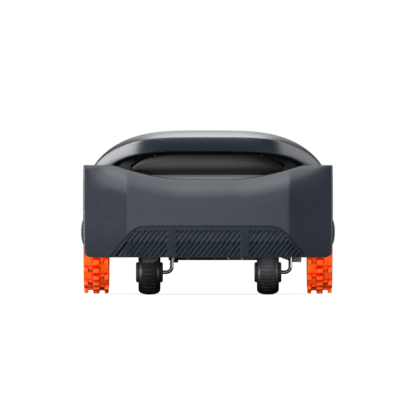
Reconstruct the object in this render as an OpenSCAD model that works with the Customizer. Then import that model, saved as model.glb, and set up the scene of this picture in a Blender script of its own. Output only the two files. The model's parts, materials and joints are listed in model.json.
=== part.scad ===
// Robotic lawn mower: front casters, lugged rear drive wheels, arched hood and a floating front bumper.
// The origin lies on the ground below the middle of the body. The front faces -Y and Z points up.

/* [Body] */
// Overall length, from the bumper's face to the rear cover
body_length = 640; // [632:1:650]
// Width of the front bumper
bumper_width = 450; // [444:1:456]
// Height of the hood's crest above the ground
hood_top = 297; // [294:1:302]
// Height of the bumper's shoulders above the ground
shoulder_z = 234; // [230:1:238]
// Depth of the dip in the bumper's top edge
bumper_dip = 25; // [18:1:26]
// Height of the bumper's lower edge above the ground
bumper_bottom = 67.5; // [64:0.5:69]

/* [Wheels] */
// Diameter of a drive wheel over its lugs
wheel_d = 226; // [220:1:228]
// Width of a drive wheel's tread
wheel_w = 46.6; // [44:0.2:48]
// Lug rows round a drive wheel
lug_rows = 36; // [30:2:40]
// Diameter of a caster wheel
caster_d = 81; // [74:1:82]
// Width of a caster tyre
caster_w = 40; // [34:0.5:42]
// Trail of a caster wheel behind its swivel axis
caster_trail = 25; // [20:1:26]

/* [Cutting deck] */
// Diameter of the blade disc
disc_d = 176; // [168:1:178]
// Travel of the cutting height
cut_travel = 35; // [25:1:35]

/* [Controls] */
// Diameter of the stop button
stop_d = 44; // [38:1:46]
// Diameter of a key
key_d = 15; // [12:1:16]

/* [Hidden] */
$fn = 64;

// Body lines
front_y = -body_length / 2;
rear_y = body_length / 2;
half_bumper = bumper_width / 2;
bumper_wall = 3;
bumper_travel = 4;
bumper_rear_y = -160;
bumper_lip = 8;
crease_x = 147;
crown = 3;
wing_setback = 20;
dip_inner_x = 50;
dip_outer_x = 170;
dip_power = 1.6;
corner_r = 14.5;
slot_pitch = 9.2;
slot_w = 5.8;
slot_lean = 52;
slot_top = 115;

hood_front_y = -296;
hood_rear_y = 316;
hood_crest_y = -190;
hood_half = 205;
hood_wall = 3;
hood_power = 3.9;
hood_front_drop = 13;
hood_rear_drop = 65;
hood_rear_power = 2.2;
skirt_z = 150;

band_bottom_z = 259;
band_drop = 9.3;
band_ref_x = 141.5;
band_power = 4.6;
recess_half = 166;
recess_floor_z = 205;
recess_back_y = -262;
window_top_z = 253;
window_bottom_z = 217;
window_drop = 8.2;
window_ref_x = 117.4;
window_power = 5.5;
window_half = 139;

// Wheels
axle_y = 199;
axle_z = wheel_d / 2;
tread_outer_x = 227.5;
tread_inner_x = tread_outer_x - wheel_w;
hub_face_x = tread_outer_x - 5;
rim_web_x = tread_outer_x - 16;
lug_h = 8.5;
rim_r = 84;
shaft_r = 8;
well_r = wheel_d / 2 + 4.5;
fender_wall = 3;
fender_inner_x = 163;
bore_gap = 0.05;

caster_x = 107;
caster_swivel_y = -232;
caster_z = caster_d / 2;
caster_hub_w = 49;
caster_offset = 1.2;
rod_r = 3.5;
rod_bend = 10;
rod_bend_thinning = 0.05;
rod_leg_x = 41.7;
rod_bridge_z = 105;
rod_top_z = 172;
bushing_r = 10;
bumper_pin_r = 5;
bumper_pin_x = 140;
bumper_pin_front = -24.05;

// Chassis
tub_wall = 4;
tub_half = 203;
tub_rear_half = 163;
tub_front_y = -290;
tub_rear_y = 298;
tub_step_y = 74;
floor_z = 70;
bay_floor_z = 120;
bay_rear_y = -150;
well_centre_y = -28;
blade_well_r = 112;
blade_well_roof = 108;

// Cutting deck at its highest position
disc_z = 80;
disc_r = disc_d / 2;
pivot_r = disc_r - 10;
skid_r = 66;
skid_z = 72;
motor_r = 40;
carriage_z = blade_well_roof + tub_wall + cut_travel + 3;
guide_x = 58;
guide_r = 4;
screw_y = well_centre_y + 52;
screw_r = 5;
frame_top_z = 200;

// Controls
tray_y = 40;
tray_w = 124;
tray_l = 120;
tray_depth = 22;
lid_w = 118;
lid_l = 104;
lid_t = 3;
stop_y = 150;
antenna_y = 235;
rain_y = -60;
button_travel = 1.5;

slate = [0.24, 0.27, 0.31];
black = [0.08, 0.08, 0.09];
orange = [0.95, 0.36, 0.1];
steel = [0.75, 0.76, 0.78];

// Height of the hood along its middle, and the slope of that line in degrees
function hood_z(y) = y < hood_crest_y
    ? hood_top - hood_front_drop * pow((hood_crest_y - y) / (hood_crest_y - hood_front_y), 2)
    : hood_top - hood_rear_drop * pow((y - hood_crest_y) / (hood_rear_y - hood_crest_y), hood_rear_power);
function hood_slope(y) = atan((hood_z(y - 1) - hood_z(y + 1)) / 2);

// Height of the bumper's top edge
function dip_share(x) = min(1, max(0, (abs(x) - dip_inner_x) / (dip_outer_x - dip_inner_x)));
function bumper_z(x) = shoulder_z - bumper_dip * (1 - pow(dip_share(x), dip_power));

// Bumper face in plan: a shallow crown, then a wing that turns back
function bumper_y(x) = abs(x) <= crease_x
    ? front_y + crown * pow(x / crease_x, 2)
    : front_y + crown + wing_setback * (abs(x) - crease_x) / (half_bumper - crease_x);

// Slabs: a child drawn in X and Z, and a child drawn in Y and Z
module along_y(y0, y1) {
    translate([0, y1, 0])
        rotate([90, 0, 0])
            linear_extrude(y1 - y0)
                children();
}
module along_x(x0, x1) {
    translate([x0, 0, 0])
        rotate([90, 0, 90])
            linear_extrude(x1 - x0)
                children();
}
module rod_along_x(r, x0, x1) {
    translate([x0, 0, 0])
        rotate([0, 90, 0])
            cylinder(r = r, h = x1 - x0);
}
module at_axle() {
    translate([0, axle_y, axle_z])
        children();
}
// Local frame on the hood's surface at one station, tilted with it
module on_hood(y) {
    translate([0, y, hood_z(y)])
        rotate([-hood_slope(y), 0, 0])
            children();
}
module both_sides() {
    children();
    mirror([1, 0, 0])
        children();
}

// Solid block of the hood, drawn in from its outer skin by inset, standing on base_z
module hood_block(inset, base_z) {
    half = hood_half - inset;
    intersection() {
        along_y(hood_front_y + inset, hood_rear_y - inset)
            polygon(concat(
                [for (i = [-20:20])
                    let (x = half * sin(i * 4.5))
                    [x, hood_top - inset - (hood_top - shoulder_z) * pow(abs(x) / half, hood_power)]],
                [[half, base_z], [-half, base_z]]
            ));
        along_x(-half, half)
            polygon(concat(
                [[hood_front_y, base_z]],
                [for (i = [0:24])
                    let (y = hood_front_y + (hood_rear_y - hood_front_y) * i / 24)
                    [y, hood_z(y) - inset]],
                [[hood_rear_y, base_z]]
            ));
        translate([0, 0, base_z])
            linear_extrude(hood_top)
                hood_plan(inset);
    }
}
module hood_plan(inset) {
    half = hood_half - inset;
    front_r = 42 - inset;
    back_r = 92 - inset;
    polygon(concat(
        [for (a = [0:15:90])
            [half - front_r + front_r * sin(a), hood_front_y + inset + front_r - front_r * cos(a)]],
        [for (a = [0:10:90])
            [half - back_r + back_r * cos(a), hood_rear_y - inset - back_r + back_r * sin(a)]],
        [for (a = [90:-10:0])
            [-half + back_r - back_r * cos(a), hood_rear_y - inset - back_r + back_r * sin(a)]],
        [for (a = [90:-15:0])
            [-half + front_r - front_r * sin(a), hood_front_y + inset + front_r - front_r * cos(a)]]
    ));
}

// Opening under the carrying band, drawn in by inset
module recess_outline(inset) {
    half = recess_half - inset;
    polygon(concat(
        [for (i = [-16:16])
            let (x = half * i / 16)
            [x, band_bottom_z - inset - band_drop * pow(abs(x) / band_ref_x, band_power)]],
        [[half, recess_floor_z + inset], [-half, recess_floor_z + inset]]
    ));
}
module window_outline(gap) {
    half = window_half - gap;
    polygon(concat(
        [for (i = [-16:16])
            let (x = half * i / 16)
            [x, window_top_z - gap - window_drop * pow(abs(x) / window_ref_x, window_power)]],
        [[half, window_bottom_z + gap], [-half, window_bottom_z + gap]]
    ));
}

module wheel_well(r, inner_x) {
    at_axle()
        rod_along_x(r, inner_x, hood_half + 25);
}

module hood() {
    color(slate)
        difference() {
            hood_block(0, skirt_z);
            hood_block(hood_wall, skirt_z - 1);
            along_y(hood_front_y - 1, hood_front_y + 50)
                recess_outline(0);
            both_sides()
                wheel_well(well_r + fender_wall + 0.3, fender_inner_x - 0.3);
            on_hood(tray_y)
                cube([tray_w + 0.4, tray_l + 0.4, 30], center = true);
            on_hood(stop_y)
                cylinder(r = stop_d / 2 + 4.2, h = 30, center = true);
            on_hood(antenna_y)
                cylinder(r = 30.2, h = 30, center = true);
            for (x = [-14, 14])
                translate([x, rain_y, hood_z(rain_y) - 15])
                    cylinder(r = 3.2, h = 30);
        }
}

// Tunnel behind the carrying band, closed at the back by a plate that holds the window
module recess_bezel() {
    color(black)
        difference() {
            along_y(hood_front_y + hood_wall + 1, recess_back_y + 4)
                recess_outline(-2.5);
            along_y(hood_front_y, recess_back_y)
                recess_outline(0);
            along_y(recess_back_y - 1, recess_back_y + 5)
                window_outline(0);
        }
}
module camera_window() {
    color([0.16, 0.16, 0.17])
        along_y(recess_back_y, recess_back_y + 3)
            window_outline(0);
}
// Pale ledge that rises from the bumper's edge to the window
module recess_ledge() {
    color([0.42, 0.46, 0.5])
        along_x(-128, 128)
            polygon([
                [hood_front_y + 2, recess_floor_z], [hood_front_y + 2, 208.5],
                [recess_back_y, window_bottom_z - 0.5], [recess_back_y, recess_floor_z]
            ]);
}
module front_cameras() {
    color(black) {
        along_y(recess_back_y + 14, recess_back_y + 17)
            translate([-70, window_bottom_z + 2])
                square([140, 30]);
        for (x = [-45, 45])
            translate([x, recess_back_y + 14, window_bottom_z + 17])
                rotate([90, 0, 0])
                    cylinder(r = 9, h = 10);
    }
}
module pin_lights() {
    color("white")
        both_sides()
            translate([96.5, recess_back_y, window_top_z - 1])
                rotate([90, 0, 0])
                    cylinder(r = 1.2, h = 1.5);
}

// Body side panel between the bumper's return and the fender
module side_cover() {
    color(slate)
        difference() {
            along_x(hood_half + 0.5, hood_half + 14)
                side_outline(0);
            along_x(hood_half, hood_half + 11)
                side_outline(3);
        }
}
module side_outline(inset) {
    rear = axle_y - well_r - fender_wall - 1;
    polygon([
        [bumper_rear_y + 6 + inset, 96 + inset],
        [rear - 6 - inset, 88 + inset],
        [rear - inset, 96 + inset],
        [rear - inset, 150 - inset],
        [rear - 14 - inset, 190 - inset],
        [rear - 60 - inset, 216 - inset],
        [bumper_rear_y + 6 + inset, 222 - inset]
    ]);
}

// Arch over a drive wheel, closed on its inner side above the chassis
module fender() {
    color(slate)
        intersection() {
            at_axle()
                difference() {
                    rod_along_x(well_r + fender_wall, fender_inner_x, tread_outer_x);
                    rod_along_x(well_r, fender_inner_x + 3, tread_outer_x + 1);
                    translate([0, 0, -well_r * 2 - 20])
                        cube([fender_inner_x * 3, well_r * 4, well_r * 4], center = true);
                }
            union() {
                translate([fender_inner_x + 3, 0, 0])
                    cube([80, rear_y * 2, hood_top]);
                translate([fender_inner_x, 0, skirt_z + 0.3])
                    cube([3, rear_y * 2, hood_top]);
            }
        }
}

module rear_cover() {
    color(black)
        difference() {
            translate([-158, tub_rear_y, 76])
                cube([316, rear_y - tub_rear_y, 72]);
            translate([-155, tub_rear_y - 1, 79])
                cube([310, rear_y - tub_rear_y - 2, 66]);
            for (x = [-40, 10])
                translate([x, rear_y - 1.5, 100])
                    cube([30, 5, 24]);
        }
}
module charging_contacts() {
    color("gold")
        for (x = [-40, 10])
            translate([x, rear_y - 1.5, 100])
                cube([30, 1.5, 24]);
}

// Chassis: a wide pan that steps up over the casters and narrows between the drive wheels
module tub_plan(inset) {
    wide = tub_half - inset;
    narrow = tub_rear_half - inset;
    both_sides()
        polygon([
            [0, tub_front_y + inset],
            [wide - 38, tub_front_y + inset],
            [wide, tub_front_y + inset + 38],
            [wide, tub_step_y - inset],
            [narrow, tub_step_y - inset],
            [narrow, tub_rear_y - inset],
            [0, tub_rear_y - inset]
        ]);
}
module tub_shell() {
    difference() {
        translate([0, 0, floor_z])
            linear_extrude(skirt_z - floor_z)
                tub_plan(0);
        difference() {
            translate([0, 0, floor_z + tub_wall])
                linear_extrude(skirt_z)
                    tub_plan(tub_wall);
            translate([-300, bay_rear_y - 200, 0])
                cube([600, 200 + tub_wall, bay_floor_z + tub_wall]);
        }
        translate([-300, bay_rear_y - 200, 0])
            cube([600, 200, bay_floor_z]);
    }
}
module blade_well(r, z0, z1) {
    translate([0, well_centre_y, z0])
        cylinder(r = r, h = z1 - z0);
}
module caster_bosses() {
    for (x = [-caster_x, caster_x])
        translate([x, caster_swivel_y, bay_floor_z])
            cylinder(r = bushing_r + 4, h = 42);
}
// Ribbed lip below the pan, seen between the casters
module deck_lip() {
    translate([-71.5, bay_rear_y, floor_z - 8])
        cube([160, 8, 8]);
    for (x = [-61.2:24.5:88])
        translate([x - 0.7, bay_rear_y - 1.5, floor_z - 8])
            cube([1.4, 3, 8]);
    translate([-63, bay_rear_y, floor_z - 12.4])
        cube([9, 8, 12.4]);
}
// Low skid blocks: one hangs behind the bumper, the other on the pan's front wall
module skid_blocks() {
    along_y(front_y + 9 + bumper_travel, tub_front_y - 13)
        polygon([
            [-118, 58.5], [-99, 58.5], [-90, 63], [-90, bay_floor_z + tub_wall],
            [-118, bay_floor_z + tub_wall]
        ]);
    translate([-118, tub_front_y - 14, bay_floor_z])
        cube([28, 15, tub_wall]);
    along_y(bay_rear_y - 8, bay_rear_y)
        polygon([
            [133, floor_z + 6], [133, 66], [138, 64.5], [153, 58.5], [169, 58.5],
            [169, floor_z + 6]
        ]);
}
module chassis_tub() {
    color(black)
        difference() {
            union() {
                difference() {
                    union() {
                        tub_shell();
                        blade_well(blade_well_r + tub_wall, floor_z, blade_well_roof + tub_wall);
                    }
                    blade_well(blade_well_r, 0, blade_well_roof);
                }
                caster_bosses();
                deck_lip();
                skid_blocks();
            }
            blade_well(motor_r + 5, blade_well_roof - 1, blade_well_roof + tub_wall + 1);
            for (x = [-caster_x, caster_x])
                translate([x, caster_swivel_y, bay_floor_z - 1])
                    cylinder(r = bushing_r, h = 60);
            at_axle()
                rod_along_x(shaft_r + 3, -180, 180);
            for (x = [-guide_x, guide_x])
                translate([x, well_centre_y, blade_well_roof - 1])
                    cylinder(r = guide_r, h = 20);
            translate([0, screw_y, blade_well_roof + 1])
                cylinder(r = screw_r + bore_gap, h = 20);
            pin_places()
                rotate([-90, 0, 0])
                    cylinder(r = bumper_pin_r + 0.5, h = 30, center = true);
            screw_places()
                cylinder(r = 2, h = 20, center = true);
        }
}
module pin_places() {
    for (x = [-bumper_pin_x, bumper_pin_x])
        translate([x, tub_front_y, 136])
            children();
}
module screw_places() {
    both_sides()
        for (p = [[188, -135], [188, 60], [148, 286]])
            translate([p[0], p[1], floor_z + tub_wall])
                children();
}
module body_screws() {
    color(steel)
        screw_places() {
            translate([0, 0, -tub_wall])
                cylinder(r = 2, h = 12);
            translate([0, 0, -tub_wall - 2])
                cylinder(r = 4, h = 2);
        }
}
module service_hatch() {
    color(black)
        translate([-70, 112, floor_z - 2.4])
            cube([140, 90, 2.4]);
}
module battery_tray() {
    color(steel)
        difference() {
            translate([-tub_rear_half + tub_wall, 118, skirt_z + 1])
                cube([2 * (tub_rear_half - tub_wall), 124, 2.5]);
            for (x = [-120, 120])
                translate([x, 180, skirt_z])
                    cylinder(r = 22, h = 6);
        }
}
module battery_pack() {
    color([0.2, 0.2, 0.22])
        translate([-80, 126, skirt_z + 3.5]) {
            cube([160, 110, 55]);
            translate([20, 20, 55])
                cube([120, 14, 3]);
        }
}
module main_board() {
    color("darkgreen") {
        for (x = [-68, 68], y = [-275, -200])
            translate([x, y, bay_floor_z + tub_wall])
                cylinder(r = 3.5, h = 16);
        translate([-76, -282, bay_floor_z + tub_wall + 16])
            cube([152, 90, 1.6]);
        for (p = [[-55, -262, 34, 14], [0, -255, 30, 6], [40, -240, 24, 9]])
            translate([p[0], p[1], bay_floor_z + tub_wall + 17.6])
                cube([p[2], p[2], p[3]]);
    }
}
// Drive motor with its gearbox, seen from the left side of the machine
module gear_motor() {
    color(steel)
        at_axle()
            difference() {
                union() {
                    rod_along_x(36, 100, tub_rear_half - tub_wall);
                    rod_along_x(24, 22, 101);
                }
                rod_along_x(shaft_r + bore_gap, 128, 170);
            }
}
module caster_bushing() {
    color("goldenrod")
        translate([0, caster_swivel_y, bay_floor_z - 2])
            difference() {
                union() {
                    cylinder(r = bushing_r, h = 44);
                    cylinder(r = bushing_r + 3, h = 2);
                }
                translate([0, 0, -1])
                    cylinder(r = rod_r + bore_gap, h = 50);
            }
}

// Solid block of the bumper, its plan drawn in by inset and its top edge lowered by drop
module bumper_block(inset, drop) {
    scale_x = (half_bumper - inset) / half_bumper;
    intersection() {
        linear_extrude(shoulder_z)
            polygon(concat(
                [[-half_bumper * scale_x, bumper_rear_y + inset]],
                [for (x = [-half_bumper, -crease_x])
                    [x * scale_x, bumper_y(x) + inset]],
                [for (x = [-110:22:110])
                    [x * scale_x, bumper_y(x) + inset]],
                [for (x = [crease_x, half_bumper])
                    [x * scale_x, bumper_y(x) + inset]],
                [[half_bumper * scale_x, bumper_rear_y + inset]]
            ));
        along_y(front_y - 1, bumper_rear_y + inset + 1)
            bumper_outline(drop);
    }
}
module bumper_outline(drop) {
    polygon(concat(
        [for (x = [-half_bumper:9:half_bumper])
            [x, bumper_z(x) - drop]],
        [for (a = [0:15:90])
            [half_bumper - corner_r + corner_r * cos(a), bumper_bottom + corner_r - corner_r * sin(a)]],
        [for (a = [90:-15:0])
            [-half_bumper + corner_r - corner_r * cos(a), bumper_bottom + corner_r - corner_r * sin(a)]]
    ));
}
// Trapezoid of the intake panel, grown by margin
module grille_outline(margin) {
    polygon([
        [-180 - margin, bumper_bottom - 1 - margin],
        [-146 - margin, 110],
        [-122 - margin, 124 + margin],
        [122 + margin, 124 + margin],
        [146 + margin, 110],
        [180 + margin, bumper_bottom - 1 - margin]
    ]);
}
module grille_slots() {
    slot_bottom = bumper_bottom + 1.5;
    shift = (slot_top - slot_bottom) / tan(slot_lean);
    for (group = [[-168, -74], [-58, 58], [74, 168]])
        intersection() {
            polygon([
                [group[0], slot_bottom], [max(group[0], -134), slot_top],
                [min(group[1], 134), slot_top], [group[1], slot_bottom]
            ]);
            union()
                for (x = [group[0] - 40:slot_pitch:group[1]])
                    polygon([
                        [x, slot_bottom], [x + shift, slot_top],
                        [x + shift + slot_w, slot_top], [x + slot_w, slot_bottom]
                    ]);
        }
}
module front_bumper() {
    color(slate)
        difference() {
            bumper_block(0, 0);
            bumper_block(bumper_wall, bumper_wall);
            bumper_block(bumper_lip, -40);
            along_y(front_y - 1, front_y + 18)
                grille_outline(0);
        }
}
module front_grille() {
    color([0.2, 0.23, 0.28])
        difference() {
            intersection() {
                difference() {
                    bumper_block(1.5, 0);
                    bumper_block(4.5, -1);
                }
                along_y(front_y - 1, front_y + 18)
                    grille_outline(-0.2);
            }
            along_y(front_y - 1, front_y + 20)
                grille_slots();
        }
}
module grille_screen() {
    color([0.1, 0.12, 0.16])
        intersection() {
            difference() {
                bumper_block(4.6, 0);
                bumper_block(6, -1);
            }
            along_y(front_y - 1, front_y + 14)
                translate([-160, bumper_bottom + 6])
                    square([320, 52]);
        }
}
module bumper_pins() {
    color(steel)
        pin_places()
            translate([0, bumper_pin_front, 0])
                rotate([-90, 0, 0])
                    cylinder(r = bumper_pin_r, h = 12 - bumper_pin_front);
}

// Drive wheel on the left side; the right one is its mirror image
module toothed_ring(outer_r, inner_r, teeth, first, share) {
    step = 360 / teeth;
    base_r = outer_r - lug_h;
    difference() {
        polygon([for (i = [0:teeth - 1], k = [0:3])
            let (
                half_root = step * share / 2,
                half_tip = half_root * 0.72,
                turn = step * i + first + [-half_root, -half_tip, half_tip, half_root][k],
                r = (k == 1 || k == 2) ? outer_r : base_r
            )
            [r * cos(turn), r * sin(turn)]
        ]);
        circle(r = inner_r);
    }
}
module tread_band(x0, x1) {
    at_axle()
        translate([x0, 0, 0])
            rotate([0, 90, 0])
                linear_extrude(x1 - x0)
                    children();
}
module drive_tyre() {
    step = 360 / lug_rows;
    wheel_r = wheel_d / 2;
    color(orange)
        difference() {
            union() {
                tread_band(tread_inner_x, tread_outer_x)
                    circle(r = wheel_r - lug_h + 0.3, $fn = 144);
                tread_band(tread_inner_x, tread_inner_x + 7.6)
                    toothed_ring(wheel_r, rim_r, lug_rows / 2, step, 0.36);
                tread_band(tread_inner_x + 16.2, tread_inner_x + 29.3)
                    toothed_ring(wheel_r, rim_r, lug_rows, 0, 0.6);
                tread_band(tread_outer_x - 8.1, tread_outer_x)
                    toothed_ring(wheel_r, rim_r, lug_rows / 2, 0, 0.36);
            }
            at_axle()
                rod_along_x(rim_r, tread_inner_x - 1, tread_outer_x + 1);
        }
}
module drive_rim() {
    color(black)
        at_axle()
            difference() {
                union() {
                    difference() {
                        rod_along_x(rim_r, tread_inner_x, tread_outer_x);
                        rod_along_x(rim_r - 4, tread_inner_x - 1, tread_outer_x + 1);
                    }
                    rod_along_x(rim_r - 2, rim_web_x, rim_web_x + 5);
                    rod_along_x(22, tread_inner_x + 2, hub_face_x);
                }
                rod_along_x(shaft_r, tread_inner_x, hub_face_x + 1);
                for (a = [0:60:300])
                    rotate([a, 0, 0])
                        translate([0, 52, 0])
                            rod_along_x(15, rim_web_x - 1, rim_web_x + 6);
            }
}
module hub_cap() {
    color(steel)
        at_axle()
            rotate([0, 90, 0])
                translate([0, 0, hub_face_x])
                    rotate_extrude()
                        polygon([[0, 0], [26, 0], [26, 5], [22, 8.5], [14, 10], [0, 10]]);
}
module drive_shaft() {
    color(steel)
        at_axle()
            rod_along_x(shaft_r, 130, hub_face_x - 1);
}

// Caster parts, drawn on their swivel axis at the middle of the machine
module at_caster(side) {
    translate([side * caster_x, 0, 0])
        children();
}
// Quarter turn of the bent rod, a little thinner where the metal has stretched
module rod_bend() {
    rotate_extrude(angle = 90)
        translate([rod_bend, 0])
            circle(r = rod_r - rod_bend_thinning);
}
module caster_rod() {
    wheel_y = caster_swivel_y + caster_trail;
    bridge = norm([rod_leg_x, caster_trail]);
    turn = atan2(caster_trail, rod_leg_x);
    lap = 0.2;
    color(steel) {
        translate([0, wheel_y, caster_z])
            rod_along_x(rod_r, -caster_hub_w / 2 + 2, rod_leg_x - rod_bend + lap);
        translate([rod_leg_x - rod_bend, wheel_y, caster_z + rod_bend])
            rotate([90, 0, 0])
                rotate([0, 0, -90])
                    rod_bend();
        translate([rod_leg_x, wheel_y, caster_z + rod_bend - lap])
            cylinder(r = rod_r, h = rod_bridge_z - caster_z - 2 * rod_bend + 2 * lap);
        translate([0, caster_swivel_y, rod_bridge_z])
            rotate([0, 0, turn]) {
                translate([bridge - rod_bend, 0, -rod_bend])
                    rotate([90, 0, 0])
                        rod_bend();
                rod_along_x(rod_r, rod_bend - lap, bridge - rod_bend + lap);
                translate([rod_bend, 0, rod_bend])
                    rotate([90, 0, 0])
                        rotate([0, 0, 180])
                            rod_bend();
            }
        translate([0, caster_swivel_y, rod_bridge_z + rod_bend - lap])
            cylinder(r = rod_r, h = rod_top_z - rod_bridge_z - rod_bend + lap);
        translate([0, caster_swivel_y, bay_floor_z + 42.5])
            cylinder(r = rod_r + 3, h = 2.5);
    }
}
module at_caster_wheel() {
    translate([caster_offset, caster_swivel_y + caster_trail, caster_z])
        rotate([0, 90, 0])
            children();
}
module caster_tyre() {
    r = caster_d / 2;
    half = caster_w / 2;
    color(black)
        at_caster_wheel()
            rotate_extrude()
                polygon(concat(
                    [[r - 13, -half + 2]],
                    [for (i = [-9:9])
                        let (across = half * sin(i * 10))
                        [r - 9 + 9 * sqrt(1 - pow(abs(across) / half, 2.4)), across]],
                    [[r - 13, half - 2]]
                ));
}
module caster_hub() {
    r = caster_d / 2;
    half = caster_w / 2;
    bore = rod_r + bore_gap;
    color([0.12, 0.12, 0.13])
        at_caster_wheel()
            rotate_extrude()
                polygon([
                    [bore, -caster_hub_w / 2], [15, -caster_hub_w / 2], [17.6, -caster_hub_w / 2 + 2.5],
                    [17.6, -half + 1], [r - 13, -half + 2], [r - 13, half - 2], [17.6, half - 1],
                    [17.6, caster_hub_w / 2 - 2.5], [15, caster_hub_w / 2], [bore, caster_hub_w / 2]
                ]);
}

// Cutting deck
module lift_frame() {
    color(steel)
        translate([0, well_centre_y, 0])
            difference() {
                union() {
                    translate([-80, -14, frame_top_z - 6])
                        cube([160, screw_y - well_centre_y + 30, 6]);
                    for (x = [-80, 76])
                        translate([x, -14, blade_well_roof + tub_wall])
                            cube([4, 28, frame_top_z - blade_well_roof - tub_wall]);
                    for (x = [-guide_x, guide_x])
                        translate([x, 0, blade_well_roof])
                            cylinder(r = guide_r, h = frame_top_z - blade_well_roof - 1);
                }
                translate([0, screw_y - well_centre_y, frame_top_z - 7])
                    cylinder(r = screw_r + bore_gap, h = 8);
            }
}
module lift_motor() {
    color([0.3, 0.3, 0.32])
        translate([0, screw_y, frame_top_z])
            difference() {
                cylinder(r = 15, h = 36);
                translate([0, 0, -1])
                    cylinder(r = screw_r + bore_gap, h = 13);
            }
}
module lift_screw() {
    color(steel)
        translate([0, screw_y, blade_well_roof + 1])
            cylinder(r = screw_r, h = frame_top_z + 10 - blade_well_roof - 1);
}
module motor_carriage() {
    color(black)
        difference() {
            translate([-66, well_centre_y - 34, carriage_z])
                cube([132, screw_y - well_centre_y + 46, 6]);
            translate([0, well_centre_y, carriage_z - 1])
                cylinder(r = 14, h = 8);
            for (x = [-guide_x, guide_x])
                translate([x, well_centre_y, carriage_z - 1])
                    cylinder(r = guide_r + bore_gap, h = 8);
            translate([0, screw_y, carriage_z - 1])
                cylinder(r = screw_r + bore_gap, h = 8);
        }
}
module blade_motor() {
    color([0.5, 0.5, 0.52])
        translate([0, well_centre_y, 0])
            difference() {
                union() {
                    translate([0, 0, disc_z + 14])
                        cylinder(r = motor_r, h = carriage_z - disc_z - 14);
                    translate([0, 0, carriage_z])
                        cylinder(r = 14, h = 12);
                }
                translate([0, 0, disc_z + 13])
                    cylinder(r = 5 + bore_gap, h = 30);
            }
}
module blade_disc() {
    color(orange)
        translate([0, well_centre_y, disc_z])
            difference() {
                union() {
                    cylinder(r = disc_r, h = 3);
                    translate([0, 0, 3])
                        cylinder(r = 18, h = 8);
                    translate([0, 0, 3])
                        cylinder(r = 5, h = 35);
                    translate([0, 0, -9.5])
                        cylinder(r = 5, h = 10);
                    translate([0, 0, -9.5])
                        cylinder(r = 8, h = 1);
                    for (a = [0:120:240])
                        rotate([0, 0, a])
                            translate([pivot_r, 0, -2.2])
                                cylinder(r = 2.5, h = 3);
                    for (a = [0:120:240])
                        rotate([0, 0, a])
                            translate([pivot_r, 0, -3.2])
                                cylinder(r = 5, h = 1);
                }
                for (a = [60:120:300])
                    rotate([0, 0, a])
                        translate([55, 0, -1])
                            cylinder(r = 9, h = 6);
            }
}
// Blade that hangs on its screw below the disc, swung outwards
module blade(index) {
    color(steel)
        translate([0, well_centre_y, disc_z - 1.6])
            rotate([0, 0, index * 120])
                translate([pivot_r, 0, 0])
                    difference() {
                        linear_extrude(1)
                            polygon([
                                [-7, -8], [24, -8], [27, -5], [27, 5], [24, 8], [-7, 8]
                            ]);
                        translate([0, 0, -1])
                            cylinder(r = 2.5 + bore_gap, h = 3);
                    }
}
// Shield that turns freely below the blades
module skid_plate() {
    color(black)
        translate([0, well_centre_y, skid_z])
            difference() {
                union() {
                    cylinder(r = skid_r, h = 2.5);
                    cylinder(r = 12, h = 4);
                }
                translate([0, 0, -2])
                    cylinder(r = 5 + bore_gap, h = 8);
            }
}

// Controls on the hood
module control_tray() {
    color(black)
        on_hood(tray_y)
            difference() {
                translate([-tray_w / 2, -tray_l / 2, -tray_depth])
                    cube([tray_w, tray_l, tray_depth]);
                translate([-tray_w / 2 + 2.5, -tray_l / 2 + 2.5, -tray_depth + 12])
                    cube([tray_w - 5, tray_l - 5, tray_depth]);
                key_places()
                    translate([0, 0, -tray_depth + 3])
                        cylinder(r = key_d / 2 - 1.5, h = tray_depth);
                translate([-36, -40, -tray_depth + 10])
                    cube([72, 40, 5]);
            }
}
module key_places() {
    for (x = [-30, 0, 30])
        translate([x, 28, 0])
            children();
}
module key(index) {
    color(index == 0 ? "firebrick" : "lightgrey")
        on_hood(tray_y)
            translate([-30 + 30 * index, 28, -tray_depth + 3 + button_travel + 0.2])
                union() {
                    cylinder(r = key_d / 2 - 1.5 - bore_gap, h = 9);
                    translate([0, 0, 9])
                        cylinder(r = key_d / 2, h = 3);
                }
}
module display() {
    color([0.05, 0.1, 0.12])
        on_hood(tray_y)
            translate([-36, -40, -tray_depth + 10])
                cube([72, 40, 2.4]);
}
module control_lid() {
    color([0.15, 0.16, 0.18])
        on_hood(tray_y)
            difference() {
                union() {
                    translate([-lid_w / 2, -tray_l / 2 + 4, -lid_t])
                        cube([lid_w, lid_l, lid_t]);
                    for (x = [-lid_w / 2 + 2, lid_w / 2 - 12])
                        translate([x, -tray_l / 2 + 7, -2.5])
                            rotate([0, 90, 0])
                                cylinder(r = 2.5, h = 10);
                }
                translate([-20, tray_l / 2 - 18, -1.2])
                    cube([40, 6, 3]);
            }
}
module stop_bezel() {
    color("gold")
        on_hood(stop_y)
            translate([0, 0, -14])
                difference() {
                    union() {
                        cylinder(r = stop_d / 2 + 4, h = 16);
                        translate([0, 0, 14.8])
                            cylinder(r = stop_d / 2 + 6, h = 1.2);
                    }
                    translate([0, 0, 6])
                        cylinder(r = stop_d / 2 + 0.5, h = 20);
                    translate([0, 0, -1])
                        cylinder(r = 6 + bore_gap, h = 10);
                }
}
module stop_button() {
    color("red")
        on_hood(stop_y)
            translate([0, 0, -14]) {
                translate([0, 0, 2])
                    cylinder(r = 6, h = 9);
                translate([0, 0, 10.5])
                    rotate_extrude()
                        polygon([
                            [0, 0], [stop_d / 2, 0], [stop_d / 2, 8], [stop_d / 2 - 2, 10.5],
                            [stop_d / 2 - 7, 12], [0, 13]
                        ]);
            }
}
module antenna_cover() {
    color([0.14, 0.15, 0.17])
        on_hood(antenna_y)
            rotate_extrude()
                polygon([
                    [0, -6], [30, -6], [30, 3], [40, 3], [40, 6], [37, 10], [30, 13], [18, 14.5],
                    [0, 15]
                ]);
}
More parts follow.
